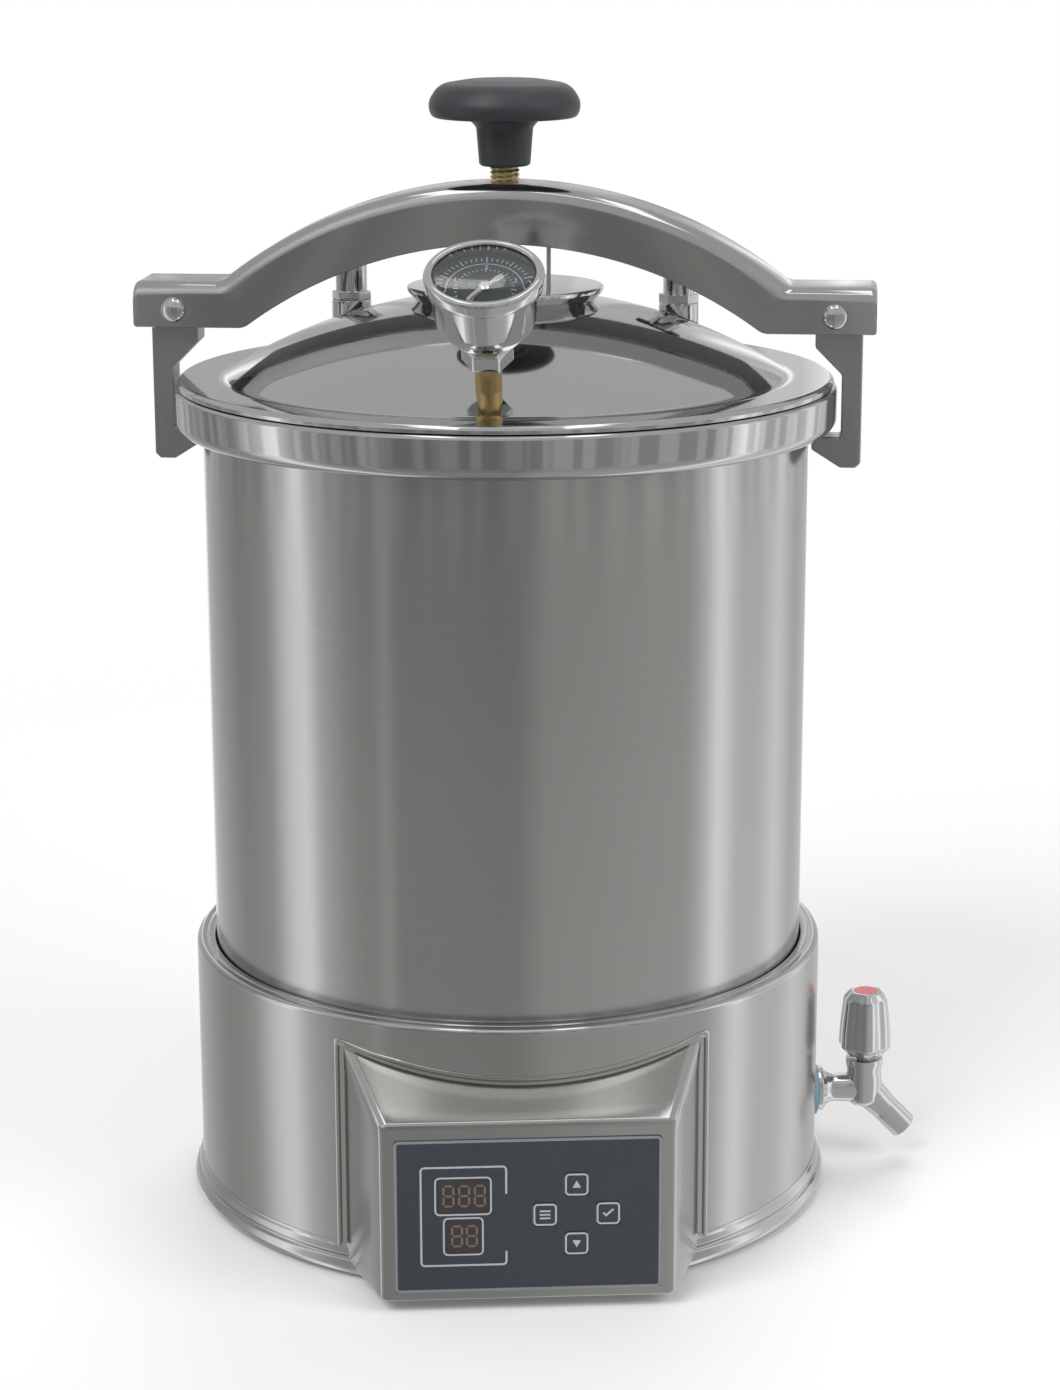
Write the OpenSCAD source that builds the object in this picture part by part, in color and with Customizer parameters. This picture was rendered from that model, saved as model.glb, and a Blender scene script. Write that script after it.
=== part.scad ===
// Benchtop steam steriliser: a steel pot that stands in a heated base, closed by a domed lid.
// A screw on an arched yoke pulls two hooks up under the pot's flange.
// Millimetres, +Z up. The control panel faces -Y, and the origin lies on the bench under the pot's axis.

$fn = 96;

/* [Base] */
// How far the base drum stands out beyond the pot
drum_out = 9.5; // [8:0.5:16]
// Height of the base drum above its bottom ring
base_h = 123.5; // [115:0.5:135]
// Thickness of the base's sheet steel
base_sheet = 1.2; // [0.8:0.1:1.6]
// Rounding of the drum's top edge
base_edge_r = 2.5; // [2:0.5:3]
// Gap between the pot and the drum's rolled lip
lip_gap = 2; // [1:0.5:3]
// Rounding of the rolled lip
lip_round = 1.8; // [1.6:0.1:2.2]
// Depth of the rolled lip
lip_depth = 8; // [5:1:14]
// Height of the ribbed bottom ring
ring_h = 13; // [12:1:20]
// Radius of the bottom ring's large rib
ring_rib_r = 3.4; // [2.5:0.1:3.6]
// Height of the large rib's middle above the ring's lower edge
ring_rib_up = 2.8; // [2:0.1:3]
// Radius of the bottom ring's small rib
ring_small_rib_r = 1.6; // [1.2:0.1:2]
// Height of the small rib's middle above the ring's lower edge
ring_small_rib_up = 9.4; // [9:0.1:9.6]
// Thickness of the bottom ring's band
ring_band = 0.8; // [0.6:0.1:1.6]
// Thickness of the base plate
plate_t = 2; // [1.5:0.1:3]
// Height of the base plate above the bottom ring's lower edge
plate_up = 1; // [0.5:0.5:3]
// Width of a vent slot in the base plate
vent_w = 5; // [3:1:8]
// Length of a vent slot in the base plate
vent_l = 40; // [20:1:50]
// Height of the bottom ring above the bench
foot_h = 3; // [2:0.5:6]
// Radius of a rubber foot
foot_r = 12; // [9:1:16]
// Distance of a foot's middle inside the drum's wall
foot_in = 29.5; // [23.5:0.5:46]
// Radius of a foot screw's shank
foot_screw_r = 2.5; // [2:0.5:3]
// Radius of a foot screw's head
foot_head_r = 5; // [4:0.5:6]

/* [Pot] */
// Outer radius of the pot
pot_r = 142.5; // [138:0.5:146]
// Wall of the pot
pot_wall = 2; // [1.5:0.1:3]
// Depth of the chamber
chamber_depth = 293; // [260:1:330]
// How deep the pot stands in the base
pot_sink = 27; // [20:1:40]
// Outer rounding between the pot's wall and floor
pot_corner_r = 14; // [8:1:20]
// How far the pot's flange stands out beyond the pot
flange_out = 13; // [12:0.5:18]
// Height of the pot's flange
flange_h = 20; // [16:0.5:22]
// Rounding of the flange's lower edge
flange_edge_r = 5.5; // [3:0.5:7]
// Rounding of the flange's upper edge
flange_top_r = 2.5; // [1.5:0.5:4]
// Width of the shelf that carries the pot
shelf_w = 30; // [20:1:40]
// Thickness of the shelf
shelf_t = 2; // [1.5:0.1:3]
// Depth of the shelf's skirt
shelf_skirt = 15; // [10:1:25]

/* [Chamber fittings] */
// Distance of the heater's ring inside the chamber's wall
heater_in = 45; // [35:1:60]
// Radius of the heater's tube
heater_tube_r = 4.5; // [4:0.1:5]
// Radius of the heater's cold legs
heater_leg_r = 6; // [5.5:0.5:7]
// Height of the heater above the chamber's floor
heater_up = 18; // [14:1:24]
// Length of a heater leg below the chamber's floor
heater_leg = 24; // [16:1:30]
// Angle left open between the heater's ends
heater_open = 30; // [24:1:60]
// Radius of the gland nuts on the heater and the probe
gland_r = 10; // [8:0.5:12]
// Thickness of the gland nuts
gland_t = 7; // [5:0.5:9]
// Radius of the temperature probe
probe_r = 3; // [2:0.5:4]
// Height of the probe above the chamber's floor
probe_up = 24; // [15:1:28]
// Distance of the probe from the pot's axis
probe_out = 55; // [40:1:70]
// Gap between the sieve plate and the chamber's wall
sieve_gap = 4; // [3.5:0.5:10]
// Thickness of the sieve plate
sieve_t = 1.5; // [1:0.1:2.5]
// Height of the sieve plate above the chamber's floor
sieve_up = 36; // [32:1:50]
// Radius of a sieve hole
sieve_hole_r = 4; // [3:0.5:5]
// Spacing of the rings of sieve holes
sieve_pitch = 22; // [18:1:26]
// Radius of a sieve leg
sieve_leg_r = 4; // [3:0.5:5]
// Outer radius of the drain pipe
drain_r = 7; // [6:0.5:8]
// Bore radius of the drain pipe
drain_bore_r = 5; // [4:0.5:5.5]
// Distance of the drain inside the chamber's wall
drain_in = 29; // [28:1:32]

/* [Lid] */
// How far the lid's rim stays inside the flange's edge
lid_in = 1.5; // [0.5:0.5:4]
// Thickness of the lid
lid_t = 2.5; // [2:0.1:3.5]
// Gap between the lid's rim and the flange
lid_gap = 1; // [0.5:0.1:2]
// Distance of the sealing channel's circle outside the pot's wall
seal_out = 2; // [1.5:0.5:4]
// Inner radius of the sealing channel's section
channel_r = 3.5; // [3:0.1:4]
// Gap between the seal and the flange at rest
seal_gap = 0.2; // [0.1:0.1:0.4]
// Distance of the dome's edge inside the pot's outer wall
dome_in = 8.5; // [7:0.5:14]
// Rise of the dome above the rim
dome_rise = 38.5; // [34:0.5:44]
// Turn of the lid on the pot, seen from above
lid_turn = -9; // [-15:0.5:15]
// Top radius of the pressure pad
pad_r = 46; // [40:0.5:50]
// How far the pad draws in towards the dome
pad_draw = 6; // [3:0.5:8]
// Height of the pad's top above the dome's top
pad_stand = 3.5; // [3:0.5:6]

/* [Yoke and hooks] */
// Radius of the arch along the yoke's top
arch_r = 212; // [200:1:230]
// Radius of the arch along the yoke's underside
under_r = 203; // [190:1:212]
// Height of the yoke's channel at the arch
yoke_depth = 27; // [24:0.5:30]
// Width of the yoke's channel
yoke_w = 40; // [36:0.5:46]
// Sheet thickness of the yoke
yoke_wall = 2.5; // [2:0.1:3]
// How far the yoke reaches beyond the flange
yoke_over = 17.5; // [13:0.5:23]
// Gap between the pad and the arch at the middle
yoke_gap = 21; // [19:0.5:28]
// Drop from the arch's top to the flat ends
end_drop = 46; // [44:0.5:49]
// Height of the yoke's flat ends
end_depth = 21; // [20:0.5:24]
// Distance of the hook pivots inside the flange's edge
pivot_in = 1.5; // [0:0.5:3]
// Height of the hook pivots above the channel's lower edge
pivot_up = 8; // [7:0.5:9]
// Radius of a pivot screw
pivot_r = 4; // [3:0.5:5]
// Radius of a pivot screw's head
pivot_head_r = 6; // [5.5:0.5:7]
// Height of a pivot screw's head
pivot_head_h = 3.2; // [2.5:0.1:4]
// Thickness of a hook
hook_t = 16; // [12:0.5:20]
// Width of a hook's shank
hook_w = 9.5; // [8:0.5:11]
// Radius of a hook's eye
hook_eye_r = 9; // [8:0.5:9.5]
// Depth of a hook's head below its pivot
hook_head = 16; // [14:0.5:18]
// Gap between a hook's shank and the flange
hook_clear = 2; // [1:0.1:2.5]
// Gap between a hook's toe and the flange at rest
toe_gap = 3.2; // [3.1:0.1:4]
// Gap between a hook's toe and the pot's wall
toe_clear = 1.5; // [1:0.5:3]
// Thickness of a hook's toe at its tip
toe_tip_t = 6; // [5:0.5:10]
// Depth of a hook below its toe's upper face
toe_depth = 14.5; // [12:0.5:20]
// Side play of a hook in the channel
hook_play = 0.3; // [0.2:0.1:0.5]
// Running clearance of turning pieces
run_gap = 0.05; // [0.02:0.01:0.1]

/* [Clamp screw] */
// Radius of the clamp screw
screw_r = 7; // [6:0.5:8]
// Depth of the pad's socket for the screw's tip
socket_depth = 3; // [2:0.1:3]
// Gap under the screw's tip and collar
tip_gap = 0.3; // [0.2:0.1:0.5]
// Radius of the screw's collar
collar_r = 11; // [10:0.5:13]
// Thickness of the screw's collar
collar_t = 5; // [3:0.5:7]
// Radius of the threaded bush
bush_r = 12; // [11:0.5:14]
// Length of the threaded bush under the yoke's top
bush_l = 15; // [12:0.5:16]
// Length of screw that shows above the yoke
screw_show = 7; // [6:0.5:12]
// Radius of the knob
knob_r = 35.5; // [32:0.5:40]
// Height of the knob's cap
knob_h = 19; // [17:0.5:24]
// Crown of the knob's top
knob_crown = 2; // [1:0.5:3]
// Rounding of the knob's edge
knob_edge_r = 10; // [8:0.5:11]
// Upper radius of the knob's neck
neck_top_r = 13; // [12:0.5:16]
// Lower radius of the knob's neck
neck_low_r = 11.8; // [10:0.5:12]
// Length of the knob's neck
neck_l = 21; // [16:0.5:24]
// Radius of the anti-turn pin
pin_r = 1; // [0.8:0.1:1.5]
// Distance of the anti-turn pin along the yoke
pin_x = 21.5; // [18:0.5:26]
// Distance of the anti-turn pin in front of the yoke's middle
pin_y = 12; // [6:0.5:13]
// Gap around the anti-turn pin in the pad
pin_gap = 0.3; // [0.2:0.1:0.5]
// Depth of the pad's hole for the anti-turn pin
pin_hole_depth = 7; // [6:0.5:7.5]
// How far the pin stands in its hole
pin_engage = 3.6; // [3.3:0.1:3.8]

/* [Gauge] */
// Turn of the gauge on the lid, seen from above
gauge_turn = 2.5; // [0:0.5:5]
// Distance of the gauge's foot inside the dome's edge
gauge_in = 20; // [17:0.5:26]
// Radius of the gauge's dial
dial_r = 22.8; // [20:0.2:24]
// Wall of the gauge's case
case_wall = 1.5; // [1:0.1:2]
// Length of the gauge from the dome to its bezel
gauge_l = 60; // [56:0.5:66]
// Height of the bezel
bezel_h = 7; // [5:0.5:9]
// Width of the bezel's lip over the glass
bezel_lip = 1.6; // [1:0.1:2.5]
// Wall of the bezel's band
bezel_wall = 1.6; // [1:0.1:2.5]
// Thickness of the gauge's glass
lens_t = 1.5; // [1:0.1:2]
// Depth of the dial below the glass
dial_depth = 6; // [4:0.5:8]
// Thickness of the dial
dial_t = 0.8; // [0.5:0.1:1]
// Length of the case's round side
case_side = 22; // [18:0.5:24]
// Draw of the case's side from its top to its foot
case_draw = 3; // [1:0.5:4]
// Length of the case's cone
case_cone = 11; // [8:0.5:12]
// Radius of the case's back spigot
case_back_r = 10; // [9:0.5:11]
// Radius of the gauge's stem
stem_r = 6; // [5.5:0.5:7]
// Radius of the stem's thread
stem_thread_r = 5; // [4:0.5:5.5]
// Length of the stem's thread below the dome
stem_thread_l = 12; // [10:0.5:16]
// Thickness of the gauge's hexagon nut
gauge_nut_t = 12; // [10:0.5:13]
// Corner radius of the gauge's hexagon nut
gauge_nut_r = 11.5; // [11:0.5:13]
// Corner radius of the nut under the lid
lid_nut_r = 10; // [8:0.5:12]
// Thickness of the nut under the lid
lid_nut_t = 6; // [4:0.5:8]
// Gap between a flat nut and the curved lid
curve_gap = 0.3; // [0.25:0.05:0.5]
// Length of the needle from its pivot to its tip
needle_l = 18; // [14:0.5:19]
// Length of the needle's tail
needle_tail = 10; // [5:0.5:12]
// Width of the needle
needle_w = 1.6; // [1:0.1:2.4]
// Thickness of the needle
needle_t = 0.6; // [0.4:0.1:1]
// Radius of the needle's hub
needle_hub_r = 2.4; // [2:0.1:3]
// Radius of the needle's shaft
needle_shaft_r = 0.8; // [0.6:0.1:1]
// Length of the needle's shaft below the dial
needle_shaft_l = 3; // [2:0.5:4]

/* [Valves] */
// Distance of the valves along the yoke
valve_x = 79; // [74:0.5:84]
// Distance of the valves behind the yoke's middle
valve_y = 40; // [38:0.5:46]
// Radius of a valve's welded seat
seat_r = 9.5; // [9:0.5:11]
// Height of a valve's seat
seat_h = 7; // [6:0.5:10]
// Bore radius of a valve's seat
seat_bore_r = 4; // [3:0.5:5]
// Radius of a valve's body
valve_r = 7.5; // [6.5:0.5:8.5]
// Height of a valve's body
valve_h = 18; // [14:0.5:20]
// Radius of the safety valve's cap
safety_cap_r = 8; // [7:0.5:9]
// Thickness of the safety valve's cap
safety_cap_t = 5; // [4:0.5:7]
// Radius of the stems in the valves
valve_stem_r = 3; // [2.5:0.5:4]
// Depth of the stems in the valves
valve_stem_l = 12; // [8:0.5:13]
// Gap under the safety valve's cap and the vent's handle
cap_gap = 0.3; // [0.2:0.1:0.5]
// Length of the vent's handle
vent_handle_l = 26; // [20:0.5:28]
// Width of the vent's handle
vent_handle_w = 7; // [6:0.5:8]
// Thickness of the vent's handle
vent_handle_t = 4; // [3:0.5:6]

/* [Panel] */
// How far the panel's face stands out beyond the drum
face_proud = 20.5; // [18.5:0.5:28.5]
// Width of the panel's face
face_w = 131.5; // [126:0.5:138]
// Height of the panel's face
face_h = 84; // [82:0.5:90]
// Height of the housing above the bottom ring's lower edge
housing_up = 3; // [3:0.5:5]
// Rise of the housing's roof for each unit of depth
roof_slope = 0.5; // [0.4:0.05:0.6]
// Widening of the housing for each unit of depth
side_taper = 0.35; // [0.25:0.01:0.4]
// Margin around the opening between the housing and the drum
housing_margin = 15; // [12:1:18]
// Width of the membrane
membrane_w = 119.5; // [118:0.5:123]
// Height of the membrane
membrane_h = 72.5; // [71:0.5:74]
// Thickness of the membrane
membrane_t = 0.8; // [0.5:0.1:1]
// Height of the membrane's middle above the face's lower edge
membrane_mid = 41; // [39:0.5:42]
// Width of the upper display window
temp_window_w = 24; // [22:0.5:26]
// Width of the lower display window
time_window_w = 16.6; // [15:0.5:19]
// Height of the display windows
window_h = 16.7; // [15:0.5:17]
// Distance of the display windows left of the panel's middle
window_left = 28.5; // [26:0.5:32]
// Distance of the display windows above and below the membrane's middle
window_off = 9.6; // [9.2:0.2:11]
// How far a window is set back from the membrane's face
window_recess = 0.3; // [0.1:0.1:0.4]
// Width of a key
key_w = 11.4; // [10:0.2:12]
// Corner rounding of keys and windows
key_corner_r = 1.8; // [1:0.2:2.4]
// Distance of the keys' cross right of the panel's middle
key_right_x = 21.6; // [20:0.2:24]
// Distance of each key from the middle of the cross
key_pitch = 14.1; // [13.6:0.1:15]
// Gap around a key
key_gap = 0.3; // [0.2:0.1:0.5]
// How far a key stands out of the membrane
key_proud = 0.4; // [0.2:0.1:0.8]
// Travel of a key
key_travel = 0.6; // [0.4:0.1:0.8]
// Width of the lip that holds a key behind the face
key_lip = 1; // [0.6:0.1:1.2]
// Thickness of the lip that holds a key
key_lip_t = 1; // [0.8:0.1:1.5]
// Radius of the plunger behind a key
plunger_r = 1.5; // [1:0.1:2]
// Width of the circuit board
board_w = 112; // [108:0.5:116]
// Height of the circuit board
board_h = 62; // [60:0.5:64]
// Thickness of the circuit board
board_t = 1.6; // [1:0.1:2]
// Gap between the panel's face and the circuit board
board_gap = 9; // [8:0.5:10]
// Inset of the board's spacers from its edges
spacer_inset = 5; // [4:0.5:6]
// Radius of the board's spacers
spacer_r = 3; // [2.5:0.1:3.5]
// Width of a key's switch
switch_w = 6; // [5:0.5:7]
// Size of the transformer on the board
transformer_w = 34; // [30:1:38]
// Depth of the transformer behind the board
transformer_d = 20; // [15:1:24]
// Size of the heater relay on the board
relay_w = 20; // [16:1:24]
// Depth of the heater relay behind the board
relay_d = 15; // [12:1:20]

/* [Mains inlet] */
// Height of the inlet's middle above the bench
inlet_z = 48; // [40:1:60]
// Width of the inlet's flange
inlet_w = 50; // [46:1:54]
// Height of the inlet's flange
inlet_h = 26; // [24:0.5:30]
// How far the inlet's flange stands out of the drum
inlet_out = 4; // [3:0.5:6]
// Width of the inlet's body
inlet_body_w = 28; // [26:0.5:30]
// Height of the inlet's body
inlet_body_h = 20; // [18:0.5:22]
// Depth of the inlet's body inside the drum
inlet_depth = 22; // [16:1:26]
// Wall of the inlet's body
inlet_wall = 2; // [1.5:0.1:2.5]
// Half spacing of the inlet's screws
inlet_screw_off = 20; // [19:0.5:21]
// Radius of the inlet's screws
inlet_screw_r = 1.5; // [1:0.1:2]
// Radius of the heads of the inlet's screws
inlet_head_r = 3; // [2.5:0.1:3.5]
// Height of the heads of the inlet's screws
inlet_head_h = 1.6; // [1:0.1:2]
// Thickness of a contact blade
blade_t = 2; // [1.5:0.1:2.5]
// Width of a contact blade
blade_w = 4; // [3:0.5:5]

/* [Drain tap] */
// Height of the tap's axis above the bench
tap_z = 36.5; // [34:0.5:44]
// Distance of the tap's spindle from the drum's wall
tap_out = 26; // [22:0.5:28]
// Radius of the tap's barrel
barrel_r = 7.5; // [6.5:0.5:8]
// Radius of the tap's wall collar
tap_collar_r = 11.5; // [10:0.5:13]
// Thickness of the tap's wall collar
tap_collar_t = 5; // [4:0.5:7]
// Thickness of the tap's sealing washer
tap_washer_t = 1.6; // [1:0.1:2]
// Radius of the tap's shank
shank_r = 7; // [6:0.5:7.5]
// Corner radius of the nut inside the drum
backnut_r = 13; // [11:0.5:14]
// Thickness of the nut inside the drum
backnut_t = 5; // [4:0.5:7]
// Radius of the tap's bonnet
bonnet_r = 9.3; // [8.5:0.1:10]
// Height of the bonnet above the tap's axis
bonnet_h = 16; // [14:0.5:20]
// Depth of the bonnet below the tap's axis
bonnet_low = 9; // [8:0.5:11]
// Radius of the tap's spindle
spindle_r = 4; // [3:0.5:5]
// Depth of the spindle in the bonnet
spindle_in = 10; // [8:0.5:11]
// Gap between the bonnet and the handle
handle_gap = 2; // [1:0.5:3]
// Lower corner radius of the handle
handle_low_r = 13.6; // [12:0.2:15]
// Upper corner radius of the handle
handle_top_r = 10.4; // [9.5:0.2:11.5]
// Height of the handle
handle_h = 33; // [28:0.5:36]
// Number of sides of the handle
handle_sides = 8; // [6:1:10]
// Radius of the coloured disc in the handle
disc_r = 6; // [5:0.2:7]
// Depth of the coloured disc
disc_t = 2; // [1:0.5:3]
// Radius of the spout
spout_r = 7; // [6:0.2:7.4]
// Bore radius of the spout
spout_bore_r = 5; // [4:0.2:5.4]
// Length of the spout
spout_l = 30; // [26:0.5:34]
// Angle of the spout below the horizontal
spout_angle = 46; // [35:1:60]

/* [Hidden] */

// Extra length of a cutting tool
cut = 1;

// Radii that follow from the pot's
pot_in_r = pot_r - pot_wall;
base_r = pot_r + drum_out;
flange_r = pot_r + flange_out;
lid_r = flange_r - lid_in;
channel_ring_r = pot_r + seal_out;
dome_edge_r = pot_r - dome_in;
foot_circle_r = base_r - foot_in;
heater_ring_r = pot_in_r - heater_in;
sieve_r = pot_in_r - sieve_gap;
drain_out = pot_in_r - drain_in;
yoke_half = flange_r + yoke_over;
pivot_out = flange_r - pivot_in;
gauge_out = dome_edge_r - gauge_in;
face_out = base_r + face_proud;

// Heights in the base and the pot
base_top = foot_h + base_h;
plate_z = foot_h + plate_up;
pot_low = base_top - pot_sink;
pot_floor = pot_low + pot_wall;
pot_top = pot_floor + chamber_depth;
drum_in_r = base_r - base_sheet;
lip_r = pot_r + lip_gap;
sieve_z = pot_floor + sieve_up;
sieve_leg_ring = heater_ring_r + heater_tube_r + 4 * sieve_leg_r;

// Heights in the lid and the yoke
rim_low = pot_top + lid_gap;
rim_top = rim_low + lid_t;
dome_top = rim_top + dome_rise;
dome_r = (dome_edge_r * dome_edge_r + dome_rise * dome_rise) / (2 * dome_rise);
dome_mid = dome_top - dome_r;
function dome_z(r) = dome_mid + sqrt(dome_r * dome_r - r * r);
pad_top = dome_top + pad_stand;
yoke_top = pad_top + yoke_gap + yoke_depth;
arch_mid = yoke_top - arch_r;
under_mid = yoke_top - yoke_depth - under_r;
end_top = yoke_top - end_drop;
end_low = end_top - end_depth;
pivot_z = end_low + pivot_up;
channel_in = yoke_w - 2 * yoke_wall;

// Hooks, measured from the yoke's middle
hook_in = flange_r + hook_clear;
toe_z = pot_top - flange_h - toe_gap;
toe_tip = pot_r + toe_clear;

// Clamp screw and knob
knob_low = yoke_top + screw_show;
knob_under = knob_low + neck_l;
knob_top = knob_under + knob_h;

// Gauge, measured along its own axis from the dome
gauge_tilt = asin(gauge_out / dome_r);
case_top = gauge_l - bezel_wall;
case_low = case_top - case_side;
case_back = case_low - case_cone;
case_r = dial_r + case_wall;
lens_z = case_top - lens_t;
dial_z = lens_z - dial_depth;
gauge_nut_z = case_back - gauge_nut_t;
needle_rest = 225;

// Valves
valve_ring = sqrt(valve_x * valve_x + valve_y * valve_y);
seat_top = dome_z(valve_ring) + seat_h;
valve_top = seat_top + valve_h;

// Housing and panel
housing_low = foot_h + housing_up;
face_top = housing_low + face_h;
panel_z = housing_low + membrane_mid;
roof_tilt = atan(roof_slope);
side_tilt = atan(side_taper);
housing_root = base_r - 2 * housing_margin;
// The bottom ring stops where it meets the housing's sides
ring_gap = asin((face_w / 2 + face_out * side_taper) * cos(side_tilt) / base_r) - side_tilt;
face_in = face_out - base_sheet;
board_y = face_in - board_gap;
key_names = ["up", "down", "left", "right"];
key_steps = [[0, 1], [0, -1], [-1, 0], [1, 0]];

// Tap
tap_x = base_r + tap_out;
tap_wall_x = base_r + tap_washer_t;
bonnet_top = tap_z + bonnet_h;
handle_z = bonnet_top + handle_gap;

// Shared shapes

module ring(outer, inner, h) {
    difference() {
        cylinder(r = outer, h = h);
        translate([0, 0, -cut]) cylinder(r = inner, h = h + 2 * cut);
    }
}

module quarter_ring(r, t) {
    intersection() {
        difference() {
            circle(r);
            circle(r - t);
        }
        square(r);
    }
}

module rounded_square(w, h, r) {
    square([w - 2 * r, h], center = true);
    square([w, h - 2 * r], center = true);
    for (x = [-1, 1], y = [-1, 1])
        translate([x * (w / 2 - r), y * (h / 2 - r)]) circle(r);
}

// A plate that faces -Y, from depth y0 in front of the axis back to depth y1
module front_plate(y0, y1) {
    translate([0, -y1, 0]) rotate([90, 0, 0]) linear_extrude(y0 - y1) children();
}

module on_lid() {
    rotate([0, 0, lid_turn]) children();
}

module on_gauge() {
    on_lid() rotate([0, 0, gauge_turn]) translate([0, -gauge_out, dome_z(gauge_out)])
        rotate([gauge_tilt, 0, 0]) children();
}

module at_feet() {
    for (i = [0 : 3]) rotate([0, 0, 45 + 90 * i]) translate([foot_circle_r, 0, 0]) children();
}

module at_heater_ends() {
    for (s = [-1, 1]) rotate([0, 0, 90 + s * heater_open / 2]) translate([heater_ring_r, 0, 0]) children();
}

module at_probe() {
    translate([0, -probe_out, 0]) children();
}

module at_drain() {
    translate([drain_out, 0, 0]) children();
}

module at_valve(side) {
    on_lid() translate([side * valve_x, valve_y, 0]) children();
}

// Base

module base_profile() {
    translate([drum_in_r, foot_h]) square([base_sheet, base_h - base_edge_r]);
    translate([base_r - base_edge_r, base_top - base_edge_r]) quarter_ring(base_edge_r, base_sheet);
    translate([lip_r + lip_round, base_top - base_sheet])
        square([base_r - base_edge_r - lip_r - lip_round, base_sheet]);
    translate([lip_r + lip_round, base_top - lip_round]) mirror([1, 0]) quarter_ring(lip_round, base_sheet);
    translate([lip_r, base_top - lip_depth]) square([base_sheet, lip_depth - lip_round]);
}

// The housing's outer block, drawn in by the given inset on its walls, roof and floor
module housing_block(inset) {
    roof_in = inset / cos(roof_tilt);
    side_in = inset / cos(side_tilt);
    front = face_out - inset;
    roof_front = face_top + inset * roof_slope - roof_in;
    roof_root = face_top + (face_out - housing_root) * roof_slope - roof_in;
    half_front = face_w / 2 + inset * side_taper - side_in;
    half_root = face_w / 2 + (face_out - housing_root) * side_taper - side_in;
    intersection() {
        rotate([90, 0, 90]) translate([0, 0, -half_root - cut]) linear_extrude(2 * (half_root + cut))
            polygon([[-housing_root, housing_low + inset], [-front, housing_low + inset],
                     [-front, roof_front], [-housing_root, roof_root]]);
        linear_extrude(roof_root + cut)
            polygon([[-half_front, -front], [half_front, -front],
                     [half_root, -housing_root], [-half_root, -housing_root]]);
    }
}

module base_shell() {
    color("silver") difference() {
        rotate_extrude() base_profile();
        housing_block(housing_margin);
        translate([0, 0, tap_z]) rotate([0, 90, 0]) cylinder(r = shank_r, h = base_r + cut);
        translate([0, base_r, inlet_z]) cube([inlet_body_w, 2 * inlet_depth, inlet_body_h], center = true);
        for (s = [-1, 1]) translate([s * inlet_screw_off, 0, inlet_z])
            rotate([-90, 0, 0]) cylinder(r = inlet_screw_r, h = base_r + cut);
    }
}

module base_ring() {
    color("lightgray") rotate([0, 0, ring_gap - 90]) rotate_extrude(angle = 360 - 2 * ring_gap) difference() {
        union() {
            translate([base_r, foot_h]) square([ring_band, ring_h]);
            translate([base_r + ring_band / 2, foot_h + ring_rib_up]) circle(ring_rib_r);
            translate([base_r + ring_band / 2, foot_h + ring_small_rib_up]) circle(ring_small_rib_r);
        }
        square([base_r, base_top]);
        translate([0, foot_h - ring_rib_r]) square([base_r + ring_band + ring_rib_r, ring_rib_r]);
    }
}

module base_plate() {
    color("gray") difference() {
        translate([0, 0, plate_z]) cylinder(r = drum_in_r, h = plate_t);
        at_feet() translate([0, 0, plate_z - cut]) cylinder(r = foot_screw_r, h = plate_t + 2 * cut);
        for (i = [-2 : 2]) translate([3 * i * vent_w, 0, plate_z + plate_t / 2])
            cube([vent_w, vent_l, plate_t + 2 * cut], center = true);
    }
}

module rubber_feet() {
    color("dimgray") at_feet() difference() {
        cylinder(r = foot_r, h = plate_z);
        translate([0, 0, -cut]) cylinder(r = foot_screw_r, h = plate_z + 2 * cut);
        translate([0, 0, -cut]) cylinder(r = foot_head_r, h = plate_z / 2 + cut);
    }
}

module foot_screws() {
    head_t = plate_z / 4;
    color("silver") at_feet() translate([0, 0, plate_z / 2 - head_t]) {
        cylinder(r = foot_head_r, h = head_t);
        cylinder(r = foot_screw_r, h = head_t + plate_z / 2 + 3 * plate_t);
    }
}

module support_ring() {
    color("darkgray") {
        translate([0, 0, pot_low - shelf_t]) ring(drum_in_r, drum_in_r - shelf_w, shelf_t);
        translate([0, 0, pot_low - shelf_skirt]) ring(drum_in_r, drum_in_r - shelf_t, shelf_skirt);
    }
}

// Pot and chamber

module pot_profile() {
    difference() {
        pot_outline(pot_r, pot_low, pot_corner_r);
        pot_outline(pot_in_r, pot_floor, pot_corner_r - pot_wall);
    }
}

module pot_outline(r, low, corner) {
    translate([0, low]) square([r - corner, pot_top - low]);
    translate([0, low + corner]) square([r, pot_top - low - corner]);
    translate([r - corner, low + corner]) circle(corner);
}

module pot() {
    color("silver") difference() {
        rotate_extrude() pot_profile();
        at_heater_ends() translate([0, 0, pot_low - cut]) cylinder(r = heater_leg_r, h = pot_wall + 2 * cut);
        at_probe() translate([0, 0, pot_low - cut]) cylinder(r = probe_r, h = pot_wall + 2 * cut);
        at_drain() translate([0, 0, pot_low - cut]) cylinder(r = drain_bore_r, h = pot_wall + 2 * cut);
    }
}

module pot_flange() {
    low = pot_top - flange_h;
    color("lightgray") rotate_extrude() difference() {
        union() {
            translate([0, low]) square([flange_r - flange_edge_r, flange_h]);
            translate([0, low + flange_edge_r]) square([flange_r, flange_h - flange_edge_r - flange_top_r]);
            translate([flange_r - flange_edge_r, low + flange_edge_r]) circle(flange_edge_r);
            translate([flange_r - flange_top_r, pot_top - flange_top_r]) circle(flange_top_r);
            translate([0, pot_top - flange_top_r]) square([flange_r - flange_top_r, flange_top_r]);
        }
        square([pot_r, pot_top + cut]);
    }
}

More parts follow.
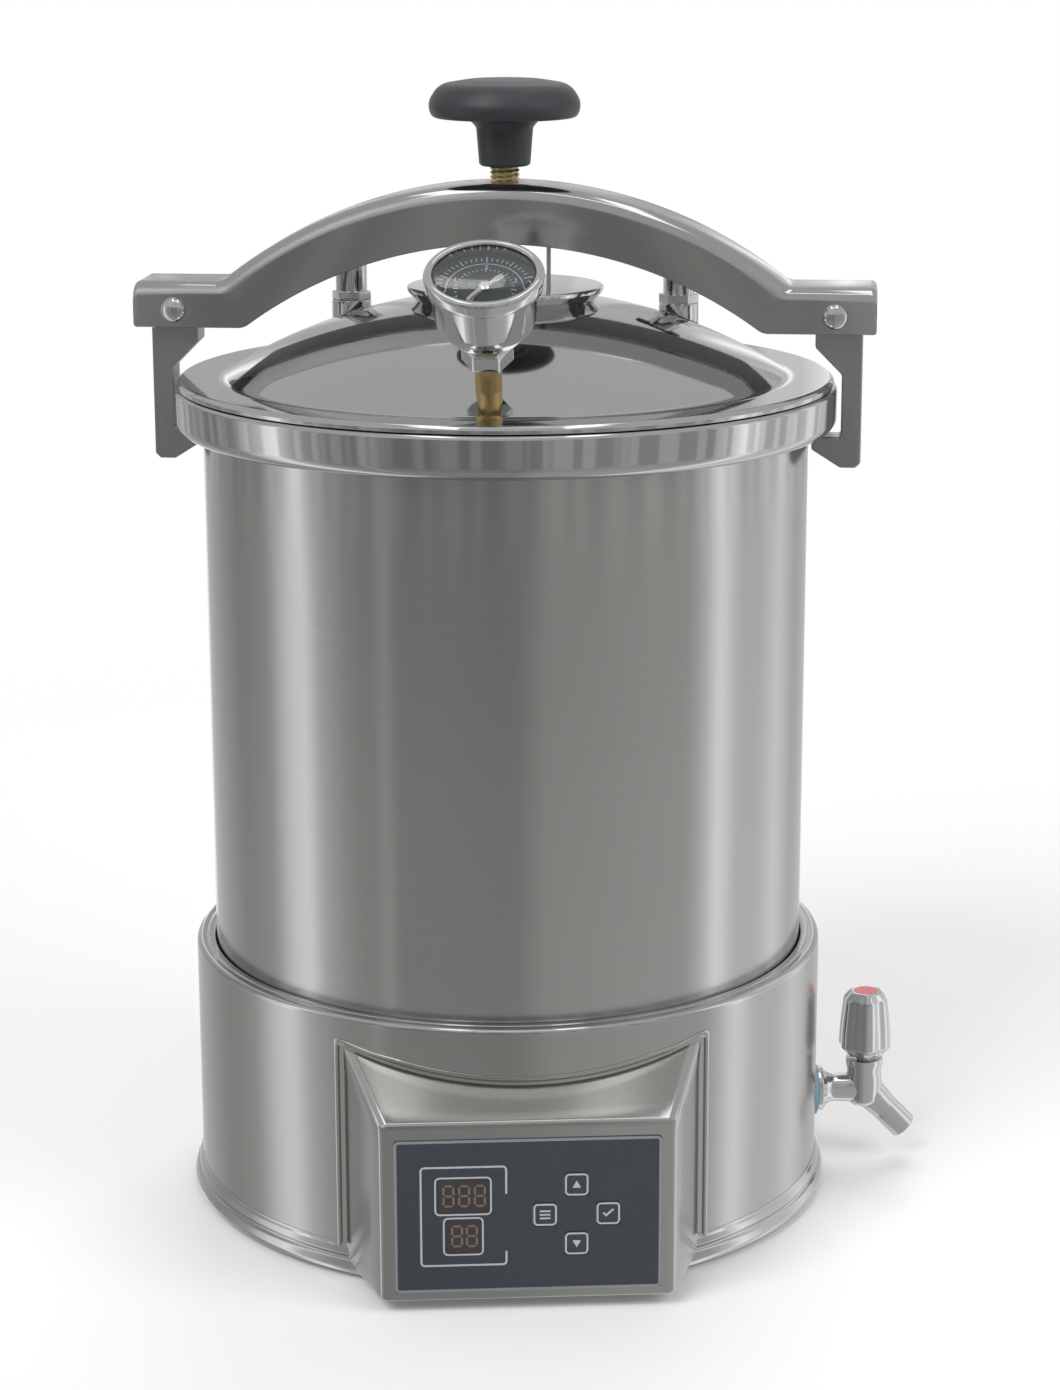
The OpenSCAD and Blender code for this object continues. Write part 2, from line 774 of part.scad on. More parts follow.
module heater() {
    mid = pot_floor + heater_up;
    color("slategray") {
        translate([0, 0, mid]) rotate([0, 0, 90 + heater_open / 2])
            rotate_extrude(angle = 360 - heater_open) translate([heater_ring_r, 0]) circle(heater_tube_r);
        at_heater_ends() translate([0, 0, pot_floor - heater_leg])
            cylinder(r = heater_leg_r, h = heater_leg + heater_up + heater_leg_r);
    }
}

module gland_nuts() {
    color("gold") {
        at_heater_ends() translate([0, 0, pot_low - gland_t]) difference() {
            cylinder(r = gland_r, h = gland_t, $fn = 6);
            translate([0, 0, -cut]) cylinder(r = heater_leg_r, h = gland_t + 2 * cut);
        }
        at_probe() translate([0, 0, pot_low - gland_t]) difference() {
            cylinder(r = gland_r, h = gland_t, $fn = 6);
            translate([0, 0, -cut]) cylinder(r = probe_r, h = gland_t + 2 * cut);
        }
    }
}

module temperature_probe() {
    color("lightgray") at_probe() {
        translate([0, 0, pot_low - 2 * gland_t]) cylinder(r = probe_r, h = 2 * gland_t + pot_wall + probe_up);
        translate([0, 0, pot_floor + probe_up]) sphere(probe_r);
    }
}

module drain_pipe() {
    shank_in = drum_in_r - 2 * backnut_t;
    color("peru") difference() {
        at_drain() {
            translate([0, 0, tap_z]) cylinder(r = drain_r, h = pot_low - tap_z);
            translate([0, 0, tap_z]) sphere(drain_r);
            translate([0, 0, tap_z]) rotate([0, 90, 0]) cylinder(r = drain_r, h = shank_in - drain_out);
        }
        at_drain() {
            translate([0, 0, tap_z]) cylinder(r = drain_bore_r, h = pot_low - tap_z + cut);
            translate([0, 0, tap_z]) sphere(drain_bore_r);
            translate([0, 0, tap_z]) rotate([0, 90, 0]) cylinder(r = drain_bore_r, h = shank_in);
        }
    }
}

module sieve_plate() {
    rows = floor((sieve_r - 2 * sieve_hole_r) / sieve_pitch);
    color("silver") {
        difference() {
            translate([0, 0, sieve_z]) cylinder(r = sieve_r, h = sieve_t);
            translate([0, 0, sieve_z - cut]) {
                cylinder(r = sieve_hole_r, h = sieve_t + 2 * cut);
                for (row = [1 : rows], i = [0 : 6 * row - 1])
                    rotate([0, 0, 60 * i / row]) translate([row * sieve_pitch, 0, 0])
                        cylinder(r = sieve_hole_r, h = sieve_t + 2 * cut);
            }
        }
        for (i = [0 : 2]) rotate([0, 0, 120 * i + 30]) translate([sieve_leg_ring, 0, pot_floor])
            cylinder(r = sieve_leg_r, h = sieve_up);
    }
}

// Control housing and panel

module at_key(i) {
    translate([key_right_x + key_steps[i][0] * key_pitch, 0, panel_z + key_steps[i][1] * key_pitch]) children();
}

module at_window(side) {
    translate([-window_left, 0, panel_z + side * window_off]) children();
}

module panel_openings(y0, y1) {
    for (i = [0 : 3]) at_key(i) front_plate(y0, y1) rounded_square(key_w, key_w, key_corner_r);
    at_window(1) front_plate(y0, y1) rounded_square(temp_window_w, window_h, key_corner_r);
    at_window(-1) front_plate(y0, y1) rounded_square(time_window_w, window_h, key_corner_r);
}

module control_housing() {
    color("silver") difference() {
        housing_block(0);
        housing_block(base_sheet);
        cylinder(r = base_r, h = 2 * base_top);
        panel_openings(face_out + cut, face_in - cut);
    }
}

module membrane() {
    color("darkslategray") difference() {
        translate([0, 0, panel_z]) front_plate(face_out + membrane_t, face_out)
            rounded_square(membrane_w, membrane_h, key_corner_r);
        panel_openings(face_out + membrane_t + cut, face_out - cut);
    }
}

module window(side, w) {
    at_window(side) front_plate(face_out + membrane_t - window_recess, face_in)
        rounded_square(w, window_h, key_corner_r);
}

module temp_window() {
    color("black") window(1, temp_window_w);
}

module time_window() {
    color("black") window(-1, time_window_w);
}

module display(side, w) {
    at_window(side) front_plate(face_in, board_y) square([w, window_h - key_corner_r], center = true);
}

module temp_display() {
    color("dimgray") display(1, temp_window_w - key_corner_r);
}

module time_display() {
    color("dimgray") display(-1, time_window_w - key_corner_r);
}

module key(name) {
    i = search([name], key_names)[0];
    cap = key_w - 2 * key_gap;
    lip_front = face_in - key_gap;
    lip_back = lip_front - key_lip_t;
    color("lightslategray") at_key(i) {
        front_plate(face_out + membrane_t + key_proud, lip_front) rounded_square(cap, cap, key_corner_r - key_gap);
        front_plate(lip_front, lip_back)
            rounded_square(key_w + 2 * key_lip, key_w + 2 * key_lip, key_corner_r);
        front_plate(lip_back, board_y + switch_w / 2 + key_gap + key_travel) circle(plunger_r);
    }
}

module key_up() { key("up"); }
module key_down() { key("down"); }
module key_left() { key("left"); }
module key_right() { key("right"); }

module control_board() {
    color("darkgreen") translate([0, 0, panel_z]) front_plate(board_y, board_y - board_t)
        square([board_w, board_h], center = true);
}

module board_parts() {
    board_back = board_y - board_t;
    color("dimgray") {
        for (i = [0 : 3]) at_key(i) front_plate(board_y + switch_w / 2, board_y)
            square(switch_w, center = true);
        translate([-transformer_w, 0, panel_z]) front_plate(board_back, board_back - transformer_d)
            square(transformer_w, center = true);
        translate([relay_w, 0, panel_z]) front_plate(board_back, board_back - relay_d)
            square(relay_w, center = true);
    }
}

module board_spacers() {
    color("gold") for (x = [-1, 1], z = [-1, 1])
        translate([x * (board_w / 2 - spacer_inset), 0, panel_z + z * (board_h / 2 - spacer_inset)])
            front_plate(face_in, board_y) circle(spacer_r);
}

// Mains inlet at the back

module mains_inlet() {
    flange_back = base_r + inlet_out;
    blade_l = inlet_depth - 2 * inlet_wall;
    color("black") {
        difference() {
            union() {
                translate([-inlet_w / 2, 0, inlet_z - inlet_h / 2]) cube([inlet_w, flange_back, inlet_h]);
                translate([-inlet_body_w / 2, 0, inlet_z - inlet_body_h / 2])
                    cube([inlet_body_w, base_r, inlet_body_h]);
            }
            difference() {
                cylinder(r = base_r, h = base_top);
                translate([-inlet_body_w / 2, base_r - inlet_depth, inlet_z - inlet_body_h / 2])
                    cube([inlet_body_w, inlet_depth, inlet_body_h]);
            }
            translate([-inlet_body_w / 2 + inlet_wall, base_r - inlet_depth + inlet_wall,
                       inlet_z - inlet_body_h / 2 + inlet_wall])
                cube([inlet_body_w - 2 * inlet_wall, flange_back, inlet_body_h - 2 * inlet_wall]);
            for (s = [-1, 1]) translate([s * inlet_screw_off, 0, inlet_z])
                rotate([-90, 0, 0]) cylinder(r = inlet_screw_r, h = flange_back + cut);
        }
        for (i = [-1 : 1]) translate([i * 2 * blade_w - blade_t / 2, base_r - inlet_depth + inlet_wall,
                                      inlet_z + (1 - abs(i)) * blade_w / 2 - blade_w / 2])
            cube([blade_t, blade_l, blade_w]);
    }
}

module inlet_screws() {
    flange_back = base_r + inlet_out;
    color("silver") for (s = [-1, 1]) translate([s * inlet_screw_off, flange_back, inlet_z]) rotate([-90, 0, 0]) {
        cylinder(r = inlet_head_r, h = inlet_head_h);
        translate([0, 0, -3 * inlet_out]) cylinder(r = inlet_screw_r, h = 3 * inlet_out);
    }
}

// Drain tap

module tap_body() {
    shank_in = drum_in_r - 2 * backnut_t;
    color("gainsboro") difference() {
        union() {
            translate([shank_in, 0, tap_z]) rotate([0, 90, 0]) cylinder(r = shank_r, h = tap_x - shank_in);
            translate([tap_wall_x, 0, tap_z]) rotate([0, 90, 0]) cylinder(r = tap_collar_r, h = tap_collar_t);
            translate([tap_wall_x, 0, tap_z]) rotate([0, 90, 0]) cylinder(r = barrel_r, h = tap_x - tap_wall_x);
            translate([tap_x, 0, tap_z - bonnet_low]) cylinder(r = bonnet_r, h = bonnet_low + bonnet_h);
            translate([tap_x, 0, tap_z]) rotate([0, 90 + spout_angle, 0]) cylinder(r = spout_r, h = spout_l);
        }
        translate([shank_in - cut, 0, tap_z]) rotate([0, 90, 0])
            cylinder(r = drain_bore_r, h = tap_x - shank_in + cut);
        translate([tap_x, 0, tap_z]) rotate([0, 90 + spout_angle, 0])
            cylinder(r = spout_bore_r, h = spout_l + cut);
        translate([tap_x, 0, bonnet_top - spindle_in]) cylinder(r = spindle_r + run_gap, h = spindle_in + cut);
    }
}

module tap_washer() {
    color("lightsteelblue") translate([base_r, 0, tap_z]) rotate([0, 90, 0]) difference() {
        translate([0, 0, -tap_washer_t]) cylinder(r = tap_collar_r + tap_washer_t, h = 2 * tap_washer_t);
        translate([0, 0, -cut - tap_washer_t]) cylinder(r = shank_r, h = 2 * tap_washer_t + 2 * cut);
        rotate([0, -90, 0]) translate([-base_r, 0, -base_r]) cylinder(r = base_r + run_gap, h = 2 * base_r, $fn = 720);
    }
}

module tap_backnut() {
    // The nut's face is cut to the drum's curve
    color("gold") difference() {
        intersection() {
            translate([drum_in_r - backnut_t - tap_washer_t, 0, tap_z]) rotate([0, 90, 0])
                cylinder(r = backnut_r, h = backnut_t + tap_washer_t, $fn = 6);
            cylinder(r = drum_in_r, h = base_top);
        }
        translate([0, 0, tap_z]) rotate([0, 90, 0]) cylinder(r = shank_r, h = base_r);
    }
}

module tap_spindle() {
    color("silver") translate([tap_x, 0, bonnet_top - spindle_in + handle_gap / 2])
        cylinder(r = spindle_r, h = spindle_in + handle_gap / 2);
}

module tap_handle() {
    color("gainsboro") translate([tap_x, 0, handle_z]) difference() {
        rotate([0, 0, 180 / handle_sides])
            cylinder(r1 = handle_low_r, r2 = handle_top_r, h = handle_h, $fn = handle_sides);
        translate([0, 0, handle_h - disc_t]) cylinder(r = disc_r, h = disc_t + cut);
    }
}

module tap_disc() {
    color("crimson") translate([tap_x, 0, handle_z + handle_h - disc_t]) cylinder(r = disc_r, h = disc_t);
}

// Lid

module lid_profile() {
    channel_out = channel_r + lid_t;
    difference() {
        union() {
            translate([dome_edge_r - lid_t, rim_low]) square([lid_r - dome_edge_r + lid_t / 2, lid_t]);
            translate([lid_r - lid_t / 2, rim_low + lid_t / 2]) circle(lid_t / 2);
            intersection() {
                translate([channel_ring_r, rim_low]) circle(channel_out);
                translate([0, rim_low]) square([lid_r, channel_out]);
            }
            intersection() {
                translate([0, dome_mid]) difference() {
                    circle(dome_r);
                    circle(dome_r - lid_t);
                }
                translate([0, rim_low]) square([dome_edge_r, dome_top]);
            }
        }
        translate([channel_ring_r, rim_low]) circle(channel_r);
    }
}

module lid() {
    color("silver") difference() {
        rotate_extrude($fn = 192) lid_profile();
        on_gauge() translate([0, 0, -4 * lid_t]) cylinder(r = stem_thread_r, h = 8 * lid_t);
        for (s = [-1, 1]) at_valve(s) translate([0, 0, rim_top]) cylinder(r = seat_bore_r, h = dome_rise);
    }
}

module gasket() {
    color("dimgray") rotate_extrude() intersection() {
        translate([channel_ring_r, rim_low]) circle(channel_r);
        translate([0, pot_top + seal_gap]) square([lid_r, lid_t + channel_r]);
    }
}

module pressure_pad() {
    color("lightgray") on_lid() difference() {
        translate([0, 0, dome_z(pad_r)]) cylinder(r1 = pad_r - pad_draw, r2 = pad_r, h = pad_top - dome_z(pad_r));
        translate([0, 0, dome_mid]) sphere(dome_r, $fn = 192);
        translate([0, 0, pad_top - socket_depth]) cylinder(r = screw_r + run_gap, h = socket_depth + cut);
        translate([pin_x, -pin_y, pad_top - pin_hole_depth])
            cylinder(r = pin_r + pin_gap, h = pin_hole_depth + cut);
    }
}

module valve_seats() {
    color("lightgray") difference() {
        for (s = [-1, 1]) at_valve(s) translate([0, 0, rim_top]) ring(seat_r, seat_bore_r, seat_top - rim_top);
        translate([0, 0, dome_mid]) sphere(dome_r, $fn = 192);
    }
}

module valve_body(side) {
    at_valve(side) translate([0, 0, seat_top]) difference() {
        union() {
            cylinder(r = valve_r, h = valve_h);
            cylinder(r = seat_r, h = seat_bore_r, $fn = 6);
        }
        translate([0, 0, valve_h - valve_stem_l - cut])
            cylinder(r = valve_stem_r + run_gap, h = valve_stem_l + 2 * cut);
    }
}

module safety_valve() {
    color("gold") valve_body(-1);
}

module vent_valve() {
    color("gold") valve_body(1);
}

module safety_cap() {
    color("lightgray") at_valve(-1) {
        translate([0, 0, valve_top - valve_stem_l]) cylinder(r = valve_stem_r, h = valve_stem_l + cap_gap);
        translate([0, 0, valve_top + cap_gap]) cylinder(r = safety_cap_r, h = safety_cap_t);
    }
}

module vent_handle() {
    color("dimgray") at_valve(1) {
        translate([0, 0, valve_top - valve_stem_l]) cylinder(r = valve_stem_r, h = valve_stem_l + cap_gap);
        translate([0, 0, valve_top + cap_gap]) linear_extrude(vent_handle_t)
            rounded_square(vent_handle_l, vent_handle_w, vent_handle_w / 2 - cap_gap);
    }
}

// Gauge

module gauge_stem() {
    color("peru") on_gauge() {
        cylinder(r = stem_r, h = gauge_nut_z);
        translate([0, 0, -stem_thread_l]) cylinder(r = stem_thread_r, h = stem_thread_l);
    }
}

module gauge_lid_nut() {
    color("gold") on_gauge() translate([0, 0, -lid_t - curve_gap - lid_nut_t]) difference() {
        cylinder(r = lid_nut_r, h = lid_nut_t, $fn = 6);
        translate([0, 0, -cut]) cylinder(r = stem_thread_r, h = lid_nut_t + 2 * cut);
    }
}

module gauge_nut() {
    color("gainsboro") on_gauge() translate([0, 0, gauge_nut_z])
        cylinder(r = gauge_nut_r, h = gauge_nut_t, $fn = 6);
}

module gauge_case() {
    color("gainsboro") on_gauge() difference() {
        rotate_extrude() polygon([[0, case_back], [case_back_r, case_back], [case_r - case_draw, case_low],
                                  [case_r, case_top], [0, case_top]]);
        translate([0, 0, dial_z]) cylinder(r = dial_r, h = case_top - dial_z + cut);
        translate([0, 0, dial_z - needle_shaft_l - cut])
            cylinder(r = needle_shaft_r + run_gap, h = needle_shaft_l + 2 * cut);
    }
}

module gauge_dial() {
    color("darkslategray") on_gauge() translate([0, 0, dial_z]) ring(dial_r, needle_shaft_r + run_gap, dial_t);
}

module gauge_needle() {
    low = dial_z + dial_t + curve_gap;
    color("white") on_gauge() rotate([0, 0, needle_rest]) {
        translate([-needle_tail, -needle_w / 2, low]) cube([needle_l + needle_tail, needle_w, needle_t]);
        translate([0, 0, low]) cylinder(r = needle_hub_r, h = 2 * needle_t);
        translate([0, 0, dial_z - needle_shaft_l]) cylinder(r = needle_shaft_r, h = low - dial_z + needle_shaft_l);
    }
}

module gauge_lens() {
    color("lightblue") on_gauge() translate([0, 0, lens_z]) cylinder(r = dial_r, h = lens_t);
}

module gauge_bezel() {
    color("gainsboro") on_gauge() {
        translate([0, 0, case_top]) ring(case_r + bezel_wall, dial_r - bezel_lip, bezel_wall);
        difference() {
            translate([0, 0, gauge_l - bezel_h]) cylinder(r = case_r + bezel_wall, h = bezel_h - bezel_wall);
            translate([0, 0, gauge_l - bezel_h - cut]) cylinder(r = case_r, h = bezel_h);
        }
    }
}

// Clamp screw, yoke and hooks

module clamp_screw() {
    tip = pad_top - socket_depth + tip_gap;
    color("peru") {
        translate([0, 0, tip]) cylinder(r = screw_r, h = knob_low - tip);
        translate([0, 0, pad_top + tip_gap]) cylinder(r = collar_r, h = collar_t);
    }
}

module knob() {
    flat_r = knob_r - knob_edge_r;
    crown_r = (flat_r * flat_r + knob_crown * knob_crown) / (2 * knob_crown);
    edge_z = knob_top - knob_crown - knob_edge_r;
    color("black") rotate_extrude() {
        polygon([[0, knob_low], [neck_low_r, knob_low], [neck_top_r, knob_under],
                 [neck_top_r, knob_under + cut], [0, knob_under + cut]]);
        translate([0, knob_under]) square([flat_r, knob_h - knob_crown]);
        intersection() {
            translate([flat_r, edge_z]) circle(knob_edge_r);
            translate([0, knob_under]) square([knob_r, knob_h]);
        }
        intersection() {
            translate([0, knob_top - crown_r]) circle(crown_r);
            translate([0, knob_under]) square([flat_r, knob_h]);
        }
    }
}

// The yoke's side view: the arch, and the flat ends out to the given reach
module yoke_side(arch, ends, low, reach) {
    meet = sqrt(arch * arch - (ends - arch_mid) * (ends - arch_mid));
    intersection() {
        translate([0, arch_mid]) circle(arch, $fn = 192);
        translate([-meet, low]) square([2 * meet, arch]);
    }
    translate([-reach, low]) square([2 * reach, ends - low]);
}

module across_yoke(w) {
    translate([0, w / 2, 0]) rotate([90, 0, 0]) linear_extrude(w) children();
}

module yoke() {
    color("silver") on_lid() difference() {
        across_yoke(yoke_w) difference() {
            yoke_side(arch_r, end_top, end_low, yoke_half);
            translate([0, under_mid]) circle(under_r, $fn = 192);
        }
        across_yoke(channel_in) yoke_side(arch_r - yoke_wall, end_top - yoke_wall, end_low - cut, yoke_half + cut);
        translate([0, 0, yoke_top - 2 * yoke_wall]) cylinder(r = bush_r - yoke_wall, h = 3 * yoke_wall);
        for (s = [-1, 1]) translate([s * pivot_out, yoke_w, pivot_z])
            rotate([90, 0, 0]) cylinder(r = pivot_r, h = 2 * yoke_w);
    }
}

module yoke_bush() {
    under = yoke_top - 2 * yoke_wall;
    color("gold") difference() {
        union() {
            translate([0, 0, under - bush_l]) cylinder(r = bush_r, h = bush_l);
            translate([0, 0, under]) cylinder(r = bush_r - yoke_wall, h = 2 * yoke_wall);
        }
        translate([0, 0, under - bush_l - cut]) cylinder(r = screw_r + run_gap, h = bush_l + 3 * yoke_wall);
    }
}

module pivot_screws() {
    cap_r = (pivot_head_r * pivot_head_r + pivot_head_h * pivot_head_h) / (2 * pivot_head_h);
    color("silver") on_lid() for (s = [-1, 1]) translate([s * pivot_out, 0, pivot_z]) rotate([90, 0, 0]) {
        translate([0, 0, -yoke_w / 2]) cylinder(r = pivot_r, h = yoke_w);
        for (m = [0, 1]) mirror([0, 0, m]) translate([0, 0, yoke_w / 2]) intersection() {
            cylinder(r = pivot_head_r, h = pivot_head_h);
            translate([0, 0, pivot_head_h - cap_r]) sphere(cap_r);
        }
    }
}

module anti_turn_pin() {
    low = pad_top - pin_engage;
    pin_top = arch_mid + sqrt(pow(arch_r - yoke_wall, 2) - pin_x * pin_x);
    color("gray") on_lid() translate([pin_x, -pin_y, low]) cylinder(r = pin_r, h = pin_top - low - curve_gap);
}

module hook_outline() {
    eye_in = pivot_out - hook_eye_r;
    head_low = pivot_z - hook_head;
    shoulder_z = head_low - (hook_in - eye_in);
    low_z = toe_z - toe_depth;
    out = hook_in + hook_w;
    difference() {
        union() {
            translate([pivot_out, pivot_z]) circle(hook_eye_r);
            polygon([[eye_in, pivot_z], [eye_in, head_low], [hook_in, shoulder_z], [hook_in, toe_z],
                     [toe_tip, toe_z], [toe_tip, toe_z - toe_tip_t], [hook_in, low_z], [out - hook_w / 4, low_z],
                     [out, low_z + hook_w / 4], [out, end_low], [pivot_out + hook_eye_r, pivot_z]]);
        }
        translate([pivot_out, pivot_z]) circle(pivot_r + run_gap);
    }
}

// The hook on the right end of the yoke
module hook() {
    rotate([90, 0, 0]) translate([0, 0, -hook_t / 2]) linear_extrude(hook_t) hook_outline();
    translate([pivot_out, channel_in / 2 - hook_play, pivot_z]) rotate([90, 0, 0])
        ring(hook_eye_r - yoke_wall, pivot_r + run_gap, channel_in - 2 * hook_play);
}

module hook_left() {
    color("dimgray") on_lid() mirror([1, 0, 0]) hook();
}

module hook_right() {
    color("dimgray") on_lid() hook();
}

base_shell();
base_ring();
base_plate();
rubber_feet();
foot_screws();
support_ring();
pot();
pot_flange();
heater();
gland_nuts();
temperature_probe();
drain_pipe();
sieve_plate();
control_housing();
membrane();
temp_window();
time_window();
temp_display();
time_display();
key_up();
key_down();
key_left();
key_right();
control_board();
board_parts();
board_spacers();
mains_inlet();
inlet_screws();
tap_body();
tap_washer();
tap_backnut();
tap_spindle();
tap_handle();
tap_disc();
lid();
gasket();
pressure_pad();
valve_seats();
safety_valve();
safety_cap();
vent_valve();
vent_handle();
gauge_stem();
gauge_lid_nut();
gauge_nut();
gauge_case();
gauge_dial();
gauge_needle();
gauge_lens();
gauge_bezel();
clamp_screw();
knob();
yoke();
yoke_bush();
pivot_screws();
anti_turn_pin();
hook_left();
hook_right();
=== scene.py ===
# %% [markdown]
# A steam steriliser for the bench: a steel pot in a heated base, under a domed lid.
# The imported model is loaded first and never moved. Every piece that is made here is drawn in metres,
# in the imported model's own frame, so a piece lies where the drawing says without any fitting.

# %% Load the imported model
from math import asin, atan2, cos, pi, radians, sin, sqrt, tan, tau

import bmesh
import bpy
from mathutils import Matrix, Vector


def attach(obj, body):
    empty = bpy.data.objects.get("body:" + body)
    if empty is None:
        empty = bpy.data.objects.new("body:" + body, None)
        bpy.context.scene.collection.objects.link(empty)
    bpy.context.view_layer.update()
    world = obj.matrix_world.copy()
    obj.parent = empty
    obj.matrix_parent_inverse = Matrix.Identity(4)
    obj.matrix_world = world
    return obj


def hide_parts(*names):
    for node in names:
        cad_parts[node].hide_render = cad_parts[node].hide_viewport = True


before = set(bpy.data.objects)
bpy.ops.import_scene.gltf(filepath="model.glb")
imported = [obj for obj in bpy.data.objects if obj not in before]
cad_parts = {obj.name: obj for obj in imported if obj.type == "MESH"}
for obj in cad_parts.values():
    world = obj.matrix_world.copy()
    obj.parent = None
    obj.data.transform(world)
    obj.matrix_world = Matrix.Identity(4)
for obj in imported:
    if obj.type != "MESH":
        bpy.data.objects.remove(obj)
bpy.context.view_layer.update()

MM = 0.001
WELD = 1e-6
scene = bpy.context.scene

# %% [markdown]
# The camera stands where the photographer stood: a little left of the middle, above the lid and looking
# down. The long side of the picture takes the whole sensor, so one lens length sets the size of the
# object.

# %% Camera
CAMERA_PLACE = (-0.0730, -1.4984, 0.6229)
CAMERA_HEADING = 0.05604
CAMERA_DOWN = radians(14.25)
CAMERA_ROLL = radians(-0.144)
LENS = 83.05
lens_data = bpy.data.cameras.new("photo_camera")
lens_data.lens = LENS
camera = bpy.data.objects.new("photo_camera", lens_data)
camera.location = CAMERA_PLACE
aim = Matrix.Rotation(-CAMERA_HEADING, 3, "Z") @ Matrix.Rotation(pi / 2 - CAMERA_DOWN, 3, "X")
camera.rotation_euler = (aim @ Matrix.Rotation(CAMERA_ROLL, 3, "Z")).to_euler()
scene.collection.objects.link(camera)
scene.camera = camera
scene.view_settings.view_transform = "Standard"
print("camera", round(LENS), "mm at", CAMERA_PLACE)

# %% [markdown]
# Node trees are easier to read as sums. This class wraps one socket: arithmetic on it adds Math nodes,
# and its node method adds any other node, with the settings first and then the values or links.
# The same class builds the materials and the Geometry Nodes trees.

# %% Wires


class Wire:
    def __init__(self, tree, socket=None):
        self.tree = tree
        self.socket = socket

    def node(self, kind, settings=None, inputs=None, out=0):
        made = self.tree.nodes.new(kind)
        for key, value in (settings or {}).items():
            if key == "stops":
                fill_ramp(made.color_ramp, value)
            else:
                setattr(made, key, value)
        for key, value in (inputs or {}).items():
            socket = pick_socket(made.inputs, key)
            if isinstance(value, Wire):
                self.tree.links.new(value.socket, socket)
            else:
                socket.default_value = value
        return Wire(self.tree, pick_socket(made.outputs, out))

    def also(self, out):
        return Wire(self.tree, pick_socket(self.socket.node.outputs, out))

    def math(self, operation, *values):
        return self.node("ShaderNodeMath", {"operation": operation}, dict(enumerate(values)))

    def __add__(self, other):
        return self.math("ADD", self, other)

    def __radd__(self, other):
        return self.math("ADD", other, self)

    def __sub__(self, other):
        return self.math("SUBTRACT", self, other)

    def __rsub__(self, other):
        return self.math("SUBTRACT", other, self)

    def __mul__(self, other):
        return self.math("MULTIPLY", self, other)

    def __rmul__(self, other):
        return self.math("MULTIPLY", other, self)

    def __truediv__(self, other):
        return self.math("DIVIDE", self, other)

    def __rtruediv__(self, other):
        return self.math("DIVIDE", other, self)

    def __mod__(self, other):
        return self.math("MODULO", self, other)

    def __rmod__(self, other):
        return self.math("MODULO", other, self)


def pick_socket(sockets, key):
    if isinstance(key, int):
        return sockets[key]
    return next(s for s in sockets if s.name == key and s.enabled)


def fill_ramp(ramp, stops):
    while len(ramp.elements) < len(stops):
        ramp.elements.new(1)
    for element, (place, shade) in zip(ramp.elements, stops):
        element.position = place
        element.color = (*shade, 1) if isinstance(shade, tuple) else (shade, shade, shade, 1)


print("wires ready")

# %% [markdown]
# A material starts as one Principled shader. A value that is the same all over is set on its own socket.
# A pattern reads Object coordinates, so it stays on the piece when the piece moves.

# %% Finishes: the common start


def new_finish(name, **fixed):
    made = bpy.data.materials.new(name)
    made.use_nodes = True
    made.node_tree.nodes.clear()
    wire = Wire(made.node_tree)
    shader = wire.node("ShaderNodeBsdfPrincipled", None, fixed)
    output = made.node_tree.nodes.new("ShaderNodeOutputMaterial")
    made.node_tree.links.new(shader.socket, output.inputs["Surface"])
    return made, wire, shader.socket.node


def feed(wire, shader, **links):
    for key, value in links.items():
        wire.tree.links.new(value.socket, shader.inputs[key.replace("_", " ")])


def noise(wire, scale, detail=2.0, stretch=(1, 1, 1), roughness=0.5):
    place = wire.node("ShaderNodeTexCoord", out="Object")
    spread = wire.node("ShaderNodeMapping", None, {"Vector": place, "Scale": stretch})
    sizes = {"Vector": spread, "Scale": scale, "Detail": detail, "Roughness": roughness}
    return wire.node("ShaderNodeTexNoise", None, sizes)


def blend(wire, amount, first, second):
    return wire.node("ShaderNodeMix", {"data_type": "RGBA"}, {0: amount, 6: first, 7: second}, out=2)


def bump(wire, height, depth, strength=1.0):
    return wire.node("ShaderNodeBump", None, {"Strength": strength, "Distance": depth, "Height": height})


def tone(shade, factor=1.0):
    return tuple(c * factor for c in shade) + (1,)


print("finish helpers ready")

# %% [markdown]
# Polished steel has hardly any colour of its own, so its look is its roughness. Rolling leaves fine lines
# round the sheet, and handling leaves soft smears: both are noise, one stretched into lines and one
# large. The pot and the base are satin: their reflections are drawn out up and down by the lines round
# them.

# %% Finishes: steel and plating


def steel(name, shade, roughness, lines, stretch, smear, turn=0.0, depth=0.00001):
    fixed = {"Metallic": 1.0, "Anisotropic": lines, "Anisotropic Rotation": turn}
    made, wire, shader = new_finish(name, **fixed)
    grain = noise(wire, 1.0, 3.0, stretch)
    clouds = noise(wire, 9.0, 3.0)
    rough = roughness + (grain - 0.5) * smear + (clouds - 0.5) * smear
    shade_in = blend(wire, clouds * 0.4 + grain * 0.6, tone(shade, 0.94), tone(shade, 1.06))
    feed(wire, shader, Base_Color=shade_in, Roughness=rough, Normal=bump(wire, grain, depth, 0.25))
    return made


